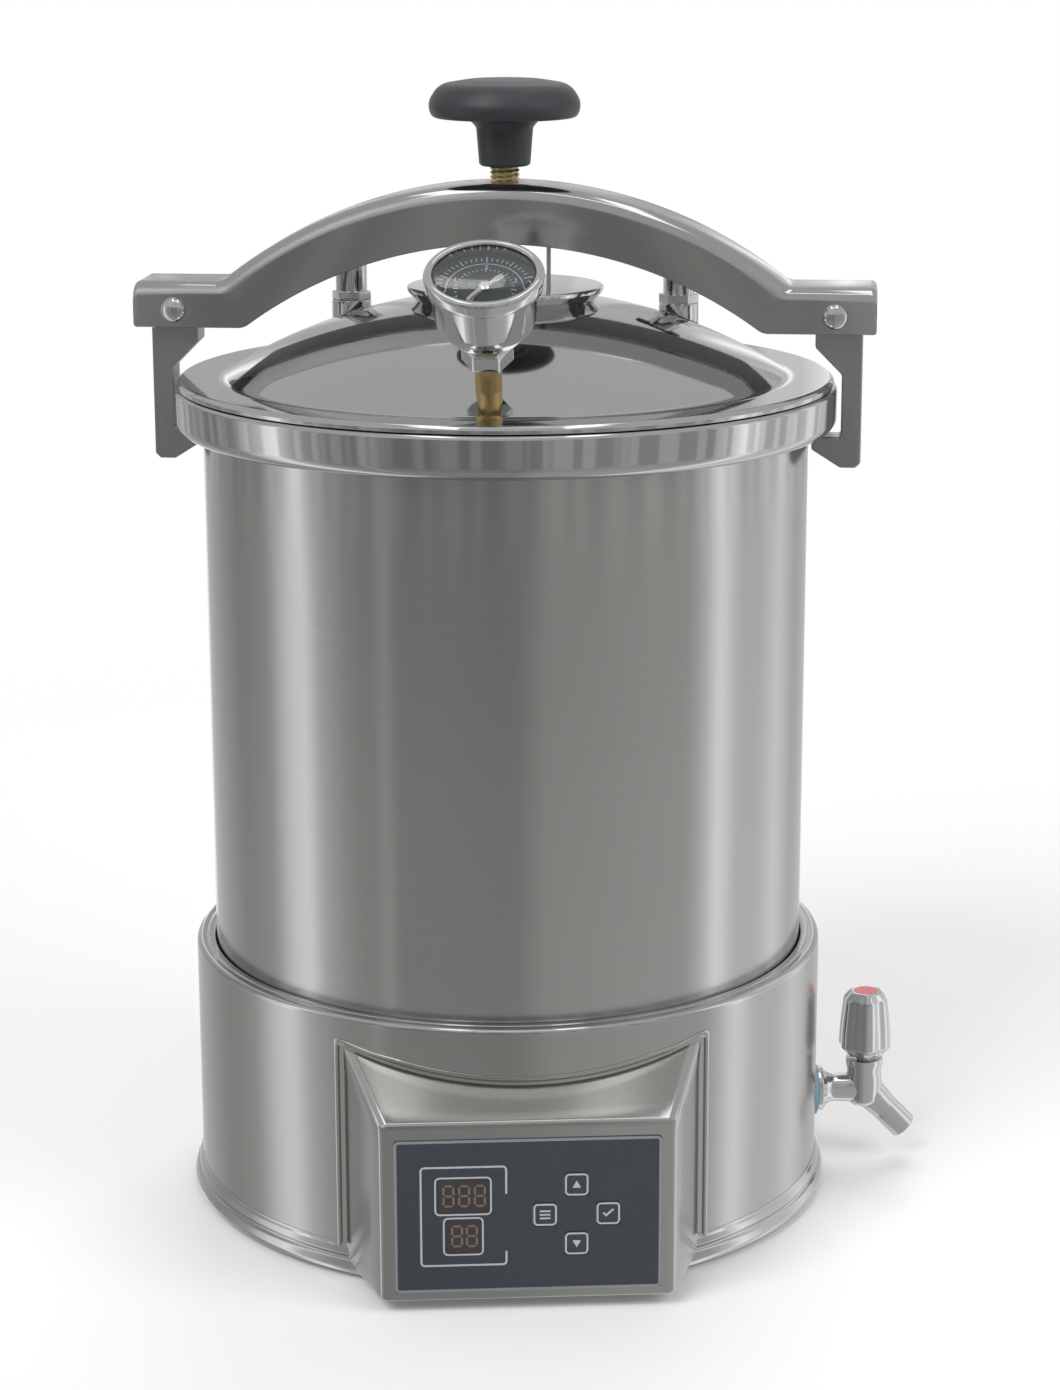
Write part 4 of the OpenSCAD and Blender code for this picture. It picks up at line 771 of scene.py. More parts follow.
def yoke_line(mid, r, end_z, bend, corner):
    meet = sqrt(r ** 2 - (end_z - mid) ** 2)
    half = asin(meet / r)
    sweep = [pi / 2 - half + 2 * half * i / 48 for i in range(1, 48)]
    arch = [(r * cos(a), mid + r * sin(a)) for a in sweep]
    ends = [(YOKE_HALF, end_z - 1.4 * corner), (YOKE_HALF, end_z, abs(corner)), (meet + 16, end_z),
            (meet, end_z, bend)]
    mirrored = [(-p[0], *p[1:]) for p in reversed(ends)]
    return rounded(ends + arch + mirrored, 6)


def yoke_section(steps=6):
    half, round_r, inner_r = YOKE_W / 2, 7, 4.5
    inner_half = half - YOKE_WALL
    turns = [pi / 2 * i / steps for i in range(steps + 1)]
    outer = [(-half, 0, 1)] + [(-half + round_r - round_r * cos(a), round_r - round_r * sin(a),
                                0) for a in turns]
    inner = [(-inner_half, 0, 1)] + [(-inner_half + inner_r - inner_r * cos(a),
                                      YOKE_WALL + inner_r - inner_r * sin(a), 0)
                                     for a in turns]
    skin = outer + [(-y, d, s) for y, d, s in reversed(outer)]
    back = inner + [(-y, d, s) for y, d, s in reversed(inner)]
    lip = [(half - 0.5, 0.3, 1), (inner_half + 0.5, 0.3, 1)]
    return skin + lip + list(reversed(back)) + [(-y, d, s) for y, d, s in reversed(lip)]


top_line = yoke_line(ARCH_MID, ARCH_R, END_TOP, 9, 3.0)
low_line = yoke_line(UNDER_MID, UNDER_R, END_LOW, 9, -1.6)
section = yoke_section()
bm = bmesh.new()
rings = []
for top, low in zip(top_line, low_line):
    span = Vector(low) - Vector(top)
    ring = []
    for y, depth, share in section:
        spot = Vector(top) + span * (share + depth / span.length)
        ring.append(bm.verts.new((MM * spot.x, MM * y, MM * spot.y)))
    rings.append(ring)
count = len(section)
for one, two in zip(rings, rings[1:]):
    for i in range(count):
        j = (i + 1) % count
        face = bm.faces.new((one[i], one[j], two[j], two[i]))
        face.material_index = int(count / 2 <= i < count - 2)
for ring in (rings[0], rings[-1]):
    for i in range(count // 2 - 1):
        bm.faces.new((ring[i], ring[i + 1], ring[count - 2 - i], ring[count - 1 - i]))
yoke_mesh = bpy.data.meshes.new("yoke_channel")
bm.to_mesh(yoke_mesh)
bm.free()
yoke_mesh.materials.append(YOKE_STEEL)
yoke_mesh.materials.append(MILL)
soften(yoke_mesh, 40)
put("yoke_channel", moved(yoke_mesh, LID_TURN), "yoke", "yoke_steel", "yoke")
print("yoke rings", len(rings), "of", len(section), "points")

# %% [markdown]
# Pieces whose drawn shape is right only need their edges broken. A copy of the drawn mesh is merged, its
# flat triangles are joined into faces, and a narrow Bevel with weighted normals gives each edge its
# highlight.

# %% Helper: a drawn piece with broken edges


def edged(name, node, width, finish, segments=2):
    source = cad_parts[node].data
    bm = bmesh.new()
    bm.from_mesh(source)
    bmesh.ops.remove_doubles(bm, verts=bm.verts, dist=2e-6)
    bmesh.ops.dissolve_limit(bm, angle_limit=radians(1.0), verts=bm.verts, edges=bm.edges)
    mesh = bpy.data.meshes.new(name + "_start")
    bm.to_mesh(mesh)
    bm.free()
    mesh.materials.clear()
    mesh.materials.append(finish)
    mesh.shade_smooth()
    made = place_object(name + "_start", mesh)
    bevel = made.modifiers.new("edges", "BEVEL")
    bevel.width = width * MM
    bevel.segments = segments
    bevel.limit_method = "ANGLE"
    bevel.angle_limit = radians(32)
    bevel.miter_outer = "MITER_ARC"
    weights = made.modifiers.new("normals", "WEIGHTED_NORMAL")
    weights.keep_sharp = True
    graph = bpy.context.evaluated_depsgraph_get()
    result = bpy.data.meshes.new_from_object(made.evaluated_get(graph))
    result.name = name
    bpy.data.objects.remove(made)
    bpy.data.meshes.remove(mesh)
    return result


EDGED = [
    ("left_hook", "hook_left", 0.9, HOOK_STEEL, "hook_left", "hook_steel"),
    ("right_hook", "hook_right", 0.9, HOOK_STEEL, "hook_right", "hook_steel"),
    ("threaded_bush", "yoke_bush", 0.5, BRASS, "yoke", "brass"),
    ("turn_pin", "anti_turn_pin", 0.3, HOOK_STEEL, "yoke", "hook_steel"),
    ("valve_bases", "valve_seats", 0.8, CHROME, "lid", "steel"),
    ("safety_body", "safety_valve", 0.5, CHROME, "lid", "brass"),
    ("safety_top", "safety_cap", 0.6, CHROME, "safety_plunger", "chrome"),
    ("vent_body", "vent_valve", 0.5, CHROME, "lid", "brass"),
    ("vent_lever", "vent_handle", 0.6, INLET_PLASTIC, "vent_plug", "black_plastic"),
    ("stem_nut", "gauge_lid_nut", 0.5, BRASS, "lid", "brass"),
    ("feet", "rubber_feet", 0.5, RUBBER, "base", "rubber"),
    ("inlet_body", "mains_inlet", 0.5, INLET_PLASTIC, "base", "inlet_plastic"),
    ("inlet_fixings", "inlet_screws", 0.3, CHROME, "base", "screw_metal"),
    ("spindle", "tap_spindle", 0.4, CHROME, "tap_valve", "chrome"),
    ("wall_washer", "tap_washer", 0.2, WASHER, "base", "washer"),
    ("red_cap", "tap_disc", 0.4, RED_DISC, "tap_valve", "tap_disc"),
    ("sieve", "sieve_plate", 0.15, INNER, "sieve", "steel"),
    ("heater_coil", "heater", 0.3, HEATER_METAL, "base", "heater"),
    ("probe", "temperature_probe", 0.2, INNER, "base", "steel"),
]
for name, node, width, finish, body, slot in EDGED:
    piece = put(name, edged(name, node, width, finish), body, slot, node)
    print(name, len(piece.data.polygons), "faces")

# %% [markdown]
# The gauge stands on a brass stem that leans with the dome. Everything in it is turned on its own axis,
# so it is drawn upright at the origin and one matrix sets it on the lid.

# %% Gauge
GAUGE_OUT = 114
GAUGE_TURN = LID_TURN @ Matrix.Rotation(radians(2.5), 4, "Z")
GAUGE_TILT = asin(GAUGE_OUT / DOME_R)
GAUGE_FOOT = Matrix.Translation((0, -GAUGE_OUT * MM, dome_z(GAUGE_OUT) * MM))
ON_GAUGE = GAUGE_TURN @ GAUGE_FOOT @ Matrix.Rotation(GAUGE_TILT, 4, "X")
CASE_R, BEZEL_R, CASE_TOP, DIAL_Z, LENS_Z = 24.3, 25.9, 58.4, 50.9, 56.9
stem_line = rounded([(0, -12), (5, -12, 0.5), (5, -0.4), (6, -0.4), (6, 22), (8.4, 22.6, 0.4),
                     (8.4, 26.2, 0.4), (0, 26.6)], 4)
put("stem", moved(turned("stem", stem_line, BRASS, 64), ON_GAUGE), "lid", "brass", "gauge_stem")
case_line = rounded([(0, 26), (8.8, 26, 0.6), (16.5, 28.0, 6), (21.6, 35, 9), (23.4, 52.6, 2),
                     (24.1, 53.4, 0.3),
                     (24.1, CASE_TOP), (22.8, CASE_TOP), (22.8, DIAL_Z - 0.2), (0, DIAL_Z - 0.2)], 8)
put("case", moved(turned("case", case_line, CHROME, 96), ON_GAUGE), "lid", "chrome", "gauge_case")
bezel_line = rounded([(CASE_R, 53), (BEZEL_R - 0.3, 53, 0.7), (BEZEL_R, 55, 1.4), (BEZEL_R, 60, 2.2),
                      (22.0, 60, 1.5), (22.0, CASE_TOP),
                      (CASE_R, CASE_TOP)], 7, True)
put("bezel", moved(turned("bezel", bezel_line, CHROME, 96), ON_GAUGE), "lid", "chrome", "gauge_bezel")
dial_line = rounded([(0, DIAL_Z + 0.8), (22.7, DIAL_Z + 0.8, 0.2), (22.7, DIAL_Z), (0, DIAL_Z)], 3)
put("dial", moved(turned("dial", dial_line, DIAL, 96), ON_GAUGE), "lid", "dial", "gauge_dial")
lens_line = rounded([(0, 58.35), (20, 58.3), (22.7, 58.1, 0.2), (22.7, LENS_Z, 0.2), (0, LENS_Z)], 3)
put("gauge_glass", moved(turned("gauge_glass", lens_line, GLASS, 96), ON_GAUGE), "lid", "lens",
    "gauge_lens")
print("gauge leans", round(GAUGE_TILT * 180 / pi, 1), "degrees")

# %% [markdown]
# The hexagon nut under the case is turned with six sides, and its corners are chamfered.

# %% Gauge nut
nut_line = rounded([(0, 13.4), (10.2, 13.4, 0.4), (11.5, 14.8, 0.6), (11.5, 21.4, 0.6), (10.2, 22.8, 0.4),
                    (0, 22.8)], 3)


def hexagon(name, outline, finish, matrix):
    mesh = turned(name, outline, finish, 6)
    bm = bmesh.new()
    bm.from_mesh(mesh)
    bmesh.ops.bevel(bm, geom=[e for e in bm.edges if e.calc_face_angle(0) > 0.5], offset=0.5 * MM,
                    segments=3,
                    affect="EDGES", profile=0.5)
    bm.to_mesh(mesh)
    bm.free()
    soften(mesh, 25)
    return moved(mesh, matrix)


put("hexagon_nut", hexagon("hexagon_nut", nut_line, CHROME, ON_GAUGE), "lid", "chrome", "gauge_nut")
print("nut set")

# %% [markdown]
# The dial's scale is one short bar repeated along an arc. A Geometry Nodes tree sets points on an arc,
# turns one bar to each point, and makes every fifth bar longer.

# %% Geometry Nodes: a scale of marks
MARK_INPUTS = [("Radius", "NodeSocketFloat"), ("Count", "NodeSocketInt"), ("Start", "NodeSocketFloat"),
               ("Sweep", "NodeSocketFloat"), ("Mark Length", "NodeSocketFloat"),
               ("Mark Width", "NodeSocketFloat"),
               ("Height", "NodeSocketFloat"), ("Long Every", "NodeSocketInt"),
               ("Finish", "NodeSocketMaterial")]
MARKS, wire = new_tree("dial_marks", MARK_INPUTS)
given = wire.node("NodeGroupInput", out="Radius")
points = wire.node("GeometryNodeMeshLine", None, {"Count": given.also("Count")})
index = wire.node("GeometryNodeInputIndex")
angle = given.also("Start") + index / (given.also("Count") - 1) * given.also("Sweep")
place = wire.node("ShaderNodeCombineXYZ", None, {0: given * angle.math("COSINE", angle),
                                                 1: given * angle.math("SINE", angle),
                                                 2: given.also("Height")})
points = wire.node("GeometryNodeSetPosition", None, {"Geometry": points, "Position": place})
bar_size = wire.node("ShaderNodeCombineXYZ", None, {0: given.also("Mark Length"),
                                                    1: given.also("Mark Width"), 2: 0.05 * MM})
bar = wire.node("GeometryNodeMeshCube", None, {"Size": bar_size}, out="Mesh")
facing = wire.node("ShaderNodeCombineXYZ", None, {2: angle})
short = 1 - (index % given.also("Long Every")).math("MINIMUM", index % given.also("Long Every"), 1) * 0.45
stretch = wire.node("ShaderNodeCombineXYZ", None, {0: short, 1: 0.5 + 0.5 * short, 2: 1.0})
marks = wire.node("GeometryNodeInstanceOnPoints", None, {"Points": points, "Instance": bar,
                                                         "Rotation": facing, "Scale": stretch})
close_tree(wire, marks, given.also("Finish"))


SCALE_START, SCALE_SWEEP = radians(-45), radians(270)
MARK_Z = DIAL_Z + 0.85
LONG_EVERY = 5


def dial_marks(name, radius, count, length, width):
    sizes = {"Radius": radius * MM, "Mark Length": length * MM, "Mark Width": width * MM,
             "Height": MARK_Z * MM}
    spread = {"Count": count, "Start": SCALE_START, "Sweep": SCALE_SWEEP, "Long Every": LONG_EVERY}
    return grown(name, MARKS, {**sizes, **spread, "Finish": DIAL_PRINT})


outer_marks = dial_marks("outer_marks", 18.6, 41, 3.4, 0.5)
inner_marks = dial_marks("inner_marks", 11.6, 31, 2.2, 0.4)
RULE_IN, RULE_OUT, RULE_LOW, RULE_TOP = 15.4, 15.8, DIAL_Z + 0.82, DIAL_Z + 0.9
rule_line = [(RULE_IN, RULE_LOW), (RULE_IN, RULE_TOP), (RULE_OUT, RULE_TOP), (RULE_OUT, RULE_LOW),
             (RULE_IN, RULE_LOW)]
rule = turned("rule", rule_line, DIAL_PRINT, 72, SCALE_START, SCALE_SWEEP)
print("marks:", len(outer_marks.polygons) // 6 + len(inner_marks.polygons) // 6)

# %% [markdown]
# Plain numbers stand along the outer scale. They are made from Blender's own font and turned into a mesh,
# and they only count up, because the real dial can't be read.

# %% Dial numbers


def number(word, size, x, y, z):
    curve = bpy.data.curves.new("number", "FONT")
    curve.body = word
    curve.size = size * MM
    curve.align_x = "CENTER"
    curve.align_y = "CENTER"
    curve.extrude = 0.03 * MM
    made = place_object("number", curve)
    graph = bpy.context.evaluated_depsgraph_get()
    mesh = bpy.data.meshes.new_from_object(made.evaluated_get(graph))
    bpy.data.objects.remove(made)
    bpy.data.curves.remove(curve)
    mesh.materials.clear()
    mesh.materials.append(DIAL_PRINT)
    return moved(mesh, Matrix.Translation((x * MM, y * MM, z * MM)))


NUMBER_R, NUMBER_SIZE, NUMBER_Z = 13.2, 3.6, DIAL_Z + 0.86
LAST_NUMBER = 4
numbers = []
for i in range(LAST_NUMBER + 1):
    a = radians(225 - 270 * i / LAST_NUMBER)
    numbers.append(number(str(i), NUMBER_SIZE, NUMBER_R * cos(a), NUMBER_R * sin(a), NUMBER_Z))
scale_mesh = joined("dial_scale", outer_marks, inner_marks, rule, *numbers)
put("dial_scale", moved(scale_mesh, ON_GAUGE), "lid", "dial")
print("dial scale", len(scale_mesh.polygons), "faces")

# %% [markdown]
# The needle is a tapered strip with a counterweight and a round hub.

# %% Needle
NEEDLE_REST = radians(225)
NEEDLE_Z, NEEDLE_T = DIAL_Z + 1.2, 0.5
needle_shape = [(-10, -1.3), (-6, -1.3), (-5, -0.6), (0, -0.8), (18, -0.25), (18.4, 0), (18, 0.25),
                (0, 0.8), (-5, 0.6),
                (-6, 1.3), (-10, 1.3)]
bm = bmesh.new()
face = bm.faces.new([bm.verts.new((x * MM, y * MM, NEEDLE_Z * MM)) for x, y in needle_shape])
raised = bmesh.ops.extrude_face_region(bm, geom=[face])
raised_points = [v for v in raised["geom"] if isinstance(v, bmesh.types.BMVert)]
bmesh.ops.translate(bm, vec=(0, 0, NEEDLE_T * MM), verts=raised_points)
needle_mesh = bpy.data.meshes.new("needle_strip")
bm.to_mesh(needle_mesh)
bm.free()
needle_mesh.materials.append(NEEDLE)
hub_line = rounded([(0, DIAL_Z + 2.7), (1.6, DIAL_Z + 2.6, 0.5), (2.4, DIAL_Z + 1.9, 0.3),
                    (2.4, DIAL_Z + 1.1), (0.8, DIAL_Z + 1.1),
                    (0.8, DIAL_Z - 2.5), (0, DIAL_Z - 2.5)], 4)
needle_mesh = joined("pointer", needle_mesh, turned("hub", hub_line, CHROME, 40))
soften(needle_mesh, 35)
put("pointer", moved(needle_mesh, ON_GAUGE @ Matrix.Rotation(NEEDLE_REST, 4, "Z")), "needle", "needle",
    "gauge_needle")
print("needle at", round(NEEDLE_REST * 180 / pi), "degrees")

# %% [markdown]
# The control housing grows out of the drum. Each point of its rounded front outline runs back on a
# straight line, widening and rising, until it meets the drum's round wall. A narrow lip then follows the
# wall.

# %% Control housing: its lines
FACE_OUT, FACE_W, FACE_H, HOUSING_LOW = 172.5, 131.5, 84.0, 6.0
ROOF_SLOPE, SIDE_TAPER = 0.5, 0.35


def housing_point(x, z, depth):
    wide = 1 + SIDE_TAPER * depth / (FACE_W / 2)
    tall = 1 + ROOF_SLOPE * depth / FACE_H
    return Vector((x * wide, depth - FACE_OUT, HOUSING_LOW + (z - HOUSING_LOW) * tall))


def depth_at_drum(x, z, r):
    low, high = 0.0, 70.0
    for _ in range(40):
        half = (low + high) / 2
        p = housing_point(x, z, half)
        if p.xy.length > r:
            low = half
        else:
            high = half
    return low


def front_outline(inset, corner):
    half = FACE_W / 2 - inset
    low, top = HOUSING_LOW + inset, HOUSING_LOW + FACE_H - inset
    loop = rounded([(half, low, corner), (half, top, corner), (-half, top, corner), (-half, low, corner)],
                   6, True)[:-1]
    spread = []
    for (x0, z0), (x1, z1) in zip(loop, loop[1:] + loop[:1]):
        steps = max(1, int(sqrt((x1 - x0) ** 2 + (z1 - z0) ** 2) / 4))
        spread += [(x0 + (x1 - x0) * i / steps, z0 + (z1 - z0) * i / steps) for i in range(steps)]
    return spread


print("face", FACE_W, "by", FACE_H, "mm")

# %% [markdown]
# The front edge is a quarter round, drawn as six loops that grow outward as they go back. Further loops
# follow the straight lines to the drum, close together near the wall, where the corner has to stay crisp.

# %% Control housing: from the face to the drum
EDGE = 2.2
outline = front_outline(EDGE, 2.0)
middle = Vector((0, HOUSING_LOW + FACE_H / 2))
loops = []
for k in range(6):
    a = pi / 2 * k / 5
    grow, back = EDGE * sin(a), EDGE * (1 - cos(a))
    loop = []
    for x, z in outline:
        side = max(0.0, min(1.0, (abs(x) - FACE_W / 2 + 2 * EDGE) / EDGE))
        rise = max(-1.0, min(1.0, (z - middle.y) / (FACE_H / 2 - 2 * EDGE)))
        px = x + grow * side * (1 if x > 0 else -1)
        pz = z + grow * (rise if abs(rise) == 1 else 0)
        loop.append(housing_point(px, pz, back))
    loops.append(loop)
LIP, LIP_UP, GROOVE = 3.6, 1.0, 1.1
edge_points = [(p.x / (1 + SIDE_TAPER * EDGE / (FACE_W / 2)),
                HOUSING_LOW + (p.z - HOUSING_LOW) / (1 + ROOF_SLOPE * EDGE / FACE_H)) for p in loops[-1]]
depths = [depth_at_drum(x, z, BASE_R - GROOVE) for x, z in edge_points]
for share in (0.25, 0.5, 0.75, 0.9, 0.97, 1.0):
    loops.append([housing_point(x, z, EDGE + (d - EDGE) * share) for (x, z),
                  d in zip(edge_points, depths)])


print("housing runs back", round(min(depths)), "to", round(max(depths)), "mm")

# %% [markdown]
# The lip is bent sheet that lies on the drum. Its loops slide the root outward along the round wall,
# first into a narrow groove and then over the lip's own section.

# %% Control housing: the lip on the drum


def along_wall(p, out, r):
    angle = atan2(p.x, -p.y)
    side = max(-1.0, min(1.0, p.x / 70))
    up = 1.0 if p.z > 96 else 0.0
    side = side if abs(p.x) > 60 else 0.0
    angle += out * side / r
    return Vector((r * sin(angle), -r * cos(angle), p.z + out * up))


root = loops[-1]
LIP_LINE = [(GROOVE, -GROOVE), (GROOVE, 0.5 * LIP_UP), (GROOVE + 0.5, LIP_UP), (LIP - 0.6, LIP_UP),
            (LIP, 0.5 * LIP_UP), (LIP, -0.6)]
for out, up in LIP_LINE:
    loops.append([along_wall(p, out, BASE_R + up) for p in root])
bm = bmesh.new()
rings = [[bm.verts.new(p * MM) for p in loop] for loop in loops]
for one, two in zip(rings, rings[1:]):
    for i in range(len(one)):
        j = (i + 1) % len(one)
        bm.faces.new((one[i], two[i], two[j], one[j]))
bm.faces.new(rings[0])
housing_mesh = bpy.data.meshes.new("housing")
bm.to_mesh(housing_mesh)
bm.free()
housing_mesh.materials.append(PANEL_STEEL)
soften(housing_mesh, 48)
put("housing", housing_mesh, "base", "steel", "control_housing")
print("housing loops", len(loops), "of", len(outline), "points")

# %% [markdown]
# The panel's film is the drawn sheet with its openings, in the film's finish. What is printed on it is
# thin raised print: a pale border, a bracket round the two displays, a frame at each window and each key.
# Each printed line is a flat strip along a rounded path.

# %% Printed lines
PANEL_Z = 47.0
FILM_Y = FACE_OUT + 0.8
PRINT_T = 0.06


def strip(path, width, y, closed=True):
    bm = bmesh.new()
    n = len(path)
    pairs = []
    for i, p in enumerate(path):
        before = Vector(path[i - 1] if closed or i else path[i])
        after = Vector(path[(i + 1) % n] if closed or i < n - 1 else path[i])
        along = (after - before).normalized()
        side = Vector((-along.y, along.x)) * width / 2
        here = Vector(p)
        corners = [here - side, here + side]
        front = [bm.verts.new((c.x * MM, -(y + PRINT_T) * MM, c.y * MM)) for c in corners]
        back = [bm.verts.new((c.x * MM, -y * MM, c.y * MM)) for c in corners]
        pairs.append((front[0], front[1], back[1], back[0]))
    for i in range(n if closed else n - 1):
        one, two = pairs[i], pairs[(i + 1) % n]
        for k in range(4):
            bm.faces.new((one[k], one[(k + 1) % 4], two[(k + 1) % 4], two[k]))
    if not closed:
        bm.faces.new(pairs[0])
        bm.faces.new(pairs[-1])
    bmesh.ops.recalc_face_normals(bm, faces=bm.faces)
    mesh = bpy.data.meshes.new("strip")
    bm.to_mesh(mesh)
    bm.free()
    return mesh


def box_path(x, z, w, h, r):
    return rounded([(x + w / 2, z - h / 2, r), (x + w / 2, z + h / 2, r), (x - w / 2, z + h / 2, r),
                    (x - w / 2, z - h / 2, r)],
                   5, True)[:-1]


def printed(mesh, finish):
    mesh.materials.append(finish)
    return mesh


WINDOW_X, WINDOW_OFF = -28.5, 9.6
border = printed(strip(box_path(0, PANEL_Z, 118.1, 71.1, 1.6), 1.3, FILM_Y), FRAME_PRINT)
put("panel_border", border, "base", "membrane")
bracket = rounded([(-9.8, PANEL_Z + 10.4), (-9.8, PANEL_Z + 23.4, 1.6), (-47.8, PANEL_Z + 23.4, 1.6),
                   (-47.8, PANEL_Z - 23.4, 1.6), (-9.8, PANEL_Z - 23.4, 1.6), (-9.8, PANEL_Z - 17)], 4)
lines = [printed(strip(bracket, 0.9, FILM_Y, closed=False), PRINT),
         printed(strip(box_path(WINDOW_X - 0.5, PANEL_Z + WINDOW_OFF, 24.8, 17.5, 2.0), 0.8, FILM_Y),
                 PRINT),
         printed(strip(box_path(WINDOW_X - 0.5, PANEL_Z - WINDOW_OFF, 17.4, 17.5, 2.0), 0.8, FILM_Y),
                 PRINT)]
put("panel_lines", joined("panel_lines", *lines), "base", "membrane")
print("printed lines", len(lines) + 1)

# %% [markdown]
# The displays show their unlit segments: each digit is seven bars. A Geometry Nodes tree repeats one bar
# at the seven places of a digit, and one digit at each place of a display.

# %% Geometry Nodes: digits of seven bars
DIGIT_INPUTS = [("Count", "NodeSocketInt"), ("Spacing", "NodeSocketFloat"), ("Width", "NodeSocketFloat"),
                ("Height", "NodeSocketFloat"), ("Bar", "NodeSocketFloat"),
                ("Finish", "NodeSocketMaterial")]
DIGITS, wire = new_tree("digits", DIGIT_INPUTS)
given = wire.node("NodeGroupInput", out="Count")
wide, tall, thick = given.also("Width"), given.also("Height"), given.also("Bar")


def bar_at(x, z, upright):
    length = (tall / 2 if upright else wide) - thick * 1.3
    size = {0: thick if upright else length, 1: 0.05 * MM, 2: length if upright else thick}
    cube = wire.node("GeometryNodeMeshCube", None, {"Size": wire.node("ShaderNodeCombineXYZ", None,
                                                                      size)}, out="Mesh")
    offset = wire.node("ShaderNodeCombineXYZ", None, {0: wide * x, 2: tall * z})
    return wire.node("GeometryNodeTransform", None, {"Geometry": cube, "Translation": offset})


bars = [bar_at(0, z, False) for z in (-0.5, 0, 0.5)]
bars += [bar_at(x, z, True) for x in (-0.5, 0.5) for z in (-0.25, 0.25)]
digit = wire.node("GeometryNodeJoinGeometry")
for bar in bars:
    DIGITS.links.new(bar.socket, digit.socket.node.inputs[0])
row = wire.node("GeometryNodeMeshLine", None, {"Count": given,
                                               "Offset": wire.node("ShaderNodeCombineXYZ", None,
                                                                   {0: given.also("Spacing")})})
shown = wire.node("GeometryNodeInstanceOnPoints", None, {"Points": row, "Instance": digit})
close_tree(wire, shown, given.also("Finish"))


def digits(name, count, spacing, z):
    values = {"Count": count, "Spacing": spacing * MM, "Width": 4.4 * MM, "Height": 9.6 * MM,
              "Bar": 0.9 * MM, "Finish": DIGIT}
    mesh = grown(name, DIGITS, values)
    left = WINDOW_X - spacing * (count - 1) / 2
    return moved(mesh, Matrix.Translation((left * MM, -(FACE_OUT + 0.53) * MM, (PANEL_Z + z) * MM)))


shown = joined("display_digits", digits("temp_digits", 3, 7.0, WINDOW_OFF),
               digits("time_digits", 2, 6.6, -WINDOW_OFF))
put("display_digits", shown, "base", "display")
print("digit bars", len(shown.polygons) // 6)

# %% [markdown]
# Each key is the drawn cap with softened edges, a printed frame and a sign: triangles for up and down,
# three bars for a menu and a tick to accept.

# %% Keys
KEY_X, KEY_PITCH, KEY_TOP = 21.6, 14.1, FACE_OUT + 1.2
KEYS = {"up": (0, 1), "down": (0, -1), "left": (-1, 0), "right": (1, 0)}


def flat_shape(corners, x, z, y):
    bm = bmesh.new()
    face = bm.faces.new([bm.verts.new(((x + u) * MM, -y * MM, (z + v) * MM)) for u, v in corners])
    raised = bmesh.ops.extrude_face_region(bm, geom=[face])
    raised_points = [v for v in raised["geom"] if isinstance(v, bmesh.types.BMVert)]
    bmesh.ops.translate(bm, vec=(0, -PRINT_T * MM, 0), verts=raised_points)
    bmesh.ops.recalc_face_normals(bm, faces=bm.faces)
    mesh = bpy.data.meshes.new("sign")
    bm.to_mesh(mesh)
    bm.free()
    return printed(mesh, PRINT)


SIGNS = {
    "up": [[(-1.9, -1.5), (1.9, -1.5), (0, 1.9)]],
    "down": [[(-1.9, 1.5), (0, -1.9), (1.9, 1.5)]],
    "left": [[(-2.4, v - 0.4), (2.4, v - 0.4), (2.4, v + 0.4), (-2.4, v + 0.4)] for v in (-1.7, 0, 1.7)],
    "right": [[(-2.6, 0.1), (-1.0, -1.6), (2.6, 1.7), (2.0, 2.3), (-1.0, -0.4), (-2.0, 0.7)]],
}
for name, (dx, dz) in KEYS.items():
    x, z = KEY_X + dx * KEY_PITCH, PANEL_Z + dz * KEY_PITCH
    cap = edged("key_cap_" + name, "key_" + name, 0.25, FILM)
    put("key_cap_" + name, cap, "key_" + name, "key", "key_" + name)
    signs = [flat_shape(shape, x, z, KEY_TOP) for shape in SIGNS[name]]
    signs.append(printed(strip(box_path(x, z, 9.6, 9.6, 1.6), 0.8, KEY_TOP), PRINT))
    put("key_sign_" + name, joined("key_sign_" + name, *signs), "key_" + name, "key")
print("keys", list(KEYS))

# %% [markdown]
# The drain tap is a small plated casting. Its barrel, bonnet and spout are turned pieces that run into
# each other, and its handle is turned with six lobes that the fingers grip.

# %% Tap
TAP_X, TAP_Z = 178.0, 36.5
ON_TAP = Matrix.Translation((TAP_X * MM, 0, TAP_Z * MM))
ALONG_X = Matrix.Translation((0, 0, TAP_Z * MM)) @ Matrix.Rotation(pi / 2, 4, "Y")
barrel_line = rounded([(5, 141.5), (6.9, 141.5), (6.9, 153.1), (11.4, 153.7, 0.8), (11.4, 156.5, 1.0),
                       (8.6, 158.5, 1.5),
                       (7.0, 161.5, 4), (7.4, 169, 6), (8.2, 178, 3), (0, 180)], 6)
SPOUT_DOWN = radians(46)
SPOUT_TURN = ON_TAP @ Matrix.Rotation(pi / 2 + SPOUT_DOWN, 4, "Y")
spout_line = rounded([(0, -2), (8.0, -1), (7.7, 8, 8), (7.0, 15, 6), (7.0, 30, 0.9), (5.2, 30, 0.5),
                      (5.0, 12), (0, 11)], 6)
bonnet_line = rounded([(0, -8.8), (6, -8.6, 2), (8.9, -6, 4), (9.1, 2, 5), (8.4, 9, 4), (9.2, 13, 2),
                       (9.2, 16, 0.6), (4.1, 16),
                       (4.1, 8), (0, 8)], 6)
tap_parts = [moved(turned("barrel", barrel_line, CHROME, 64), ALONG_X),
             moved(turned("spout", spout_line, CHROME, 64), SPOUT_TURN),
             moved(turned("bonnet", bonnet_line, CHROME, 64), ON_TAP)]
tap_mesh = joined("tap_casting", *tap_parts)
soften(tap_mesh, 40, False)
put("tap_casting", tap_mesh, "base", "chrome", "tap_body")
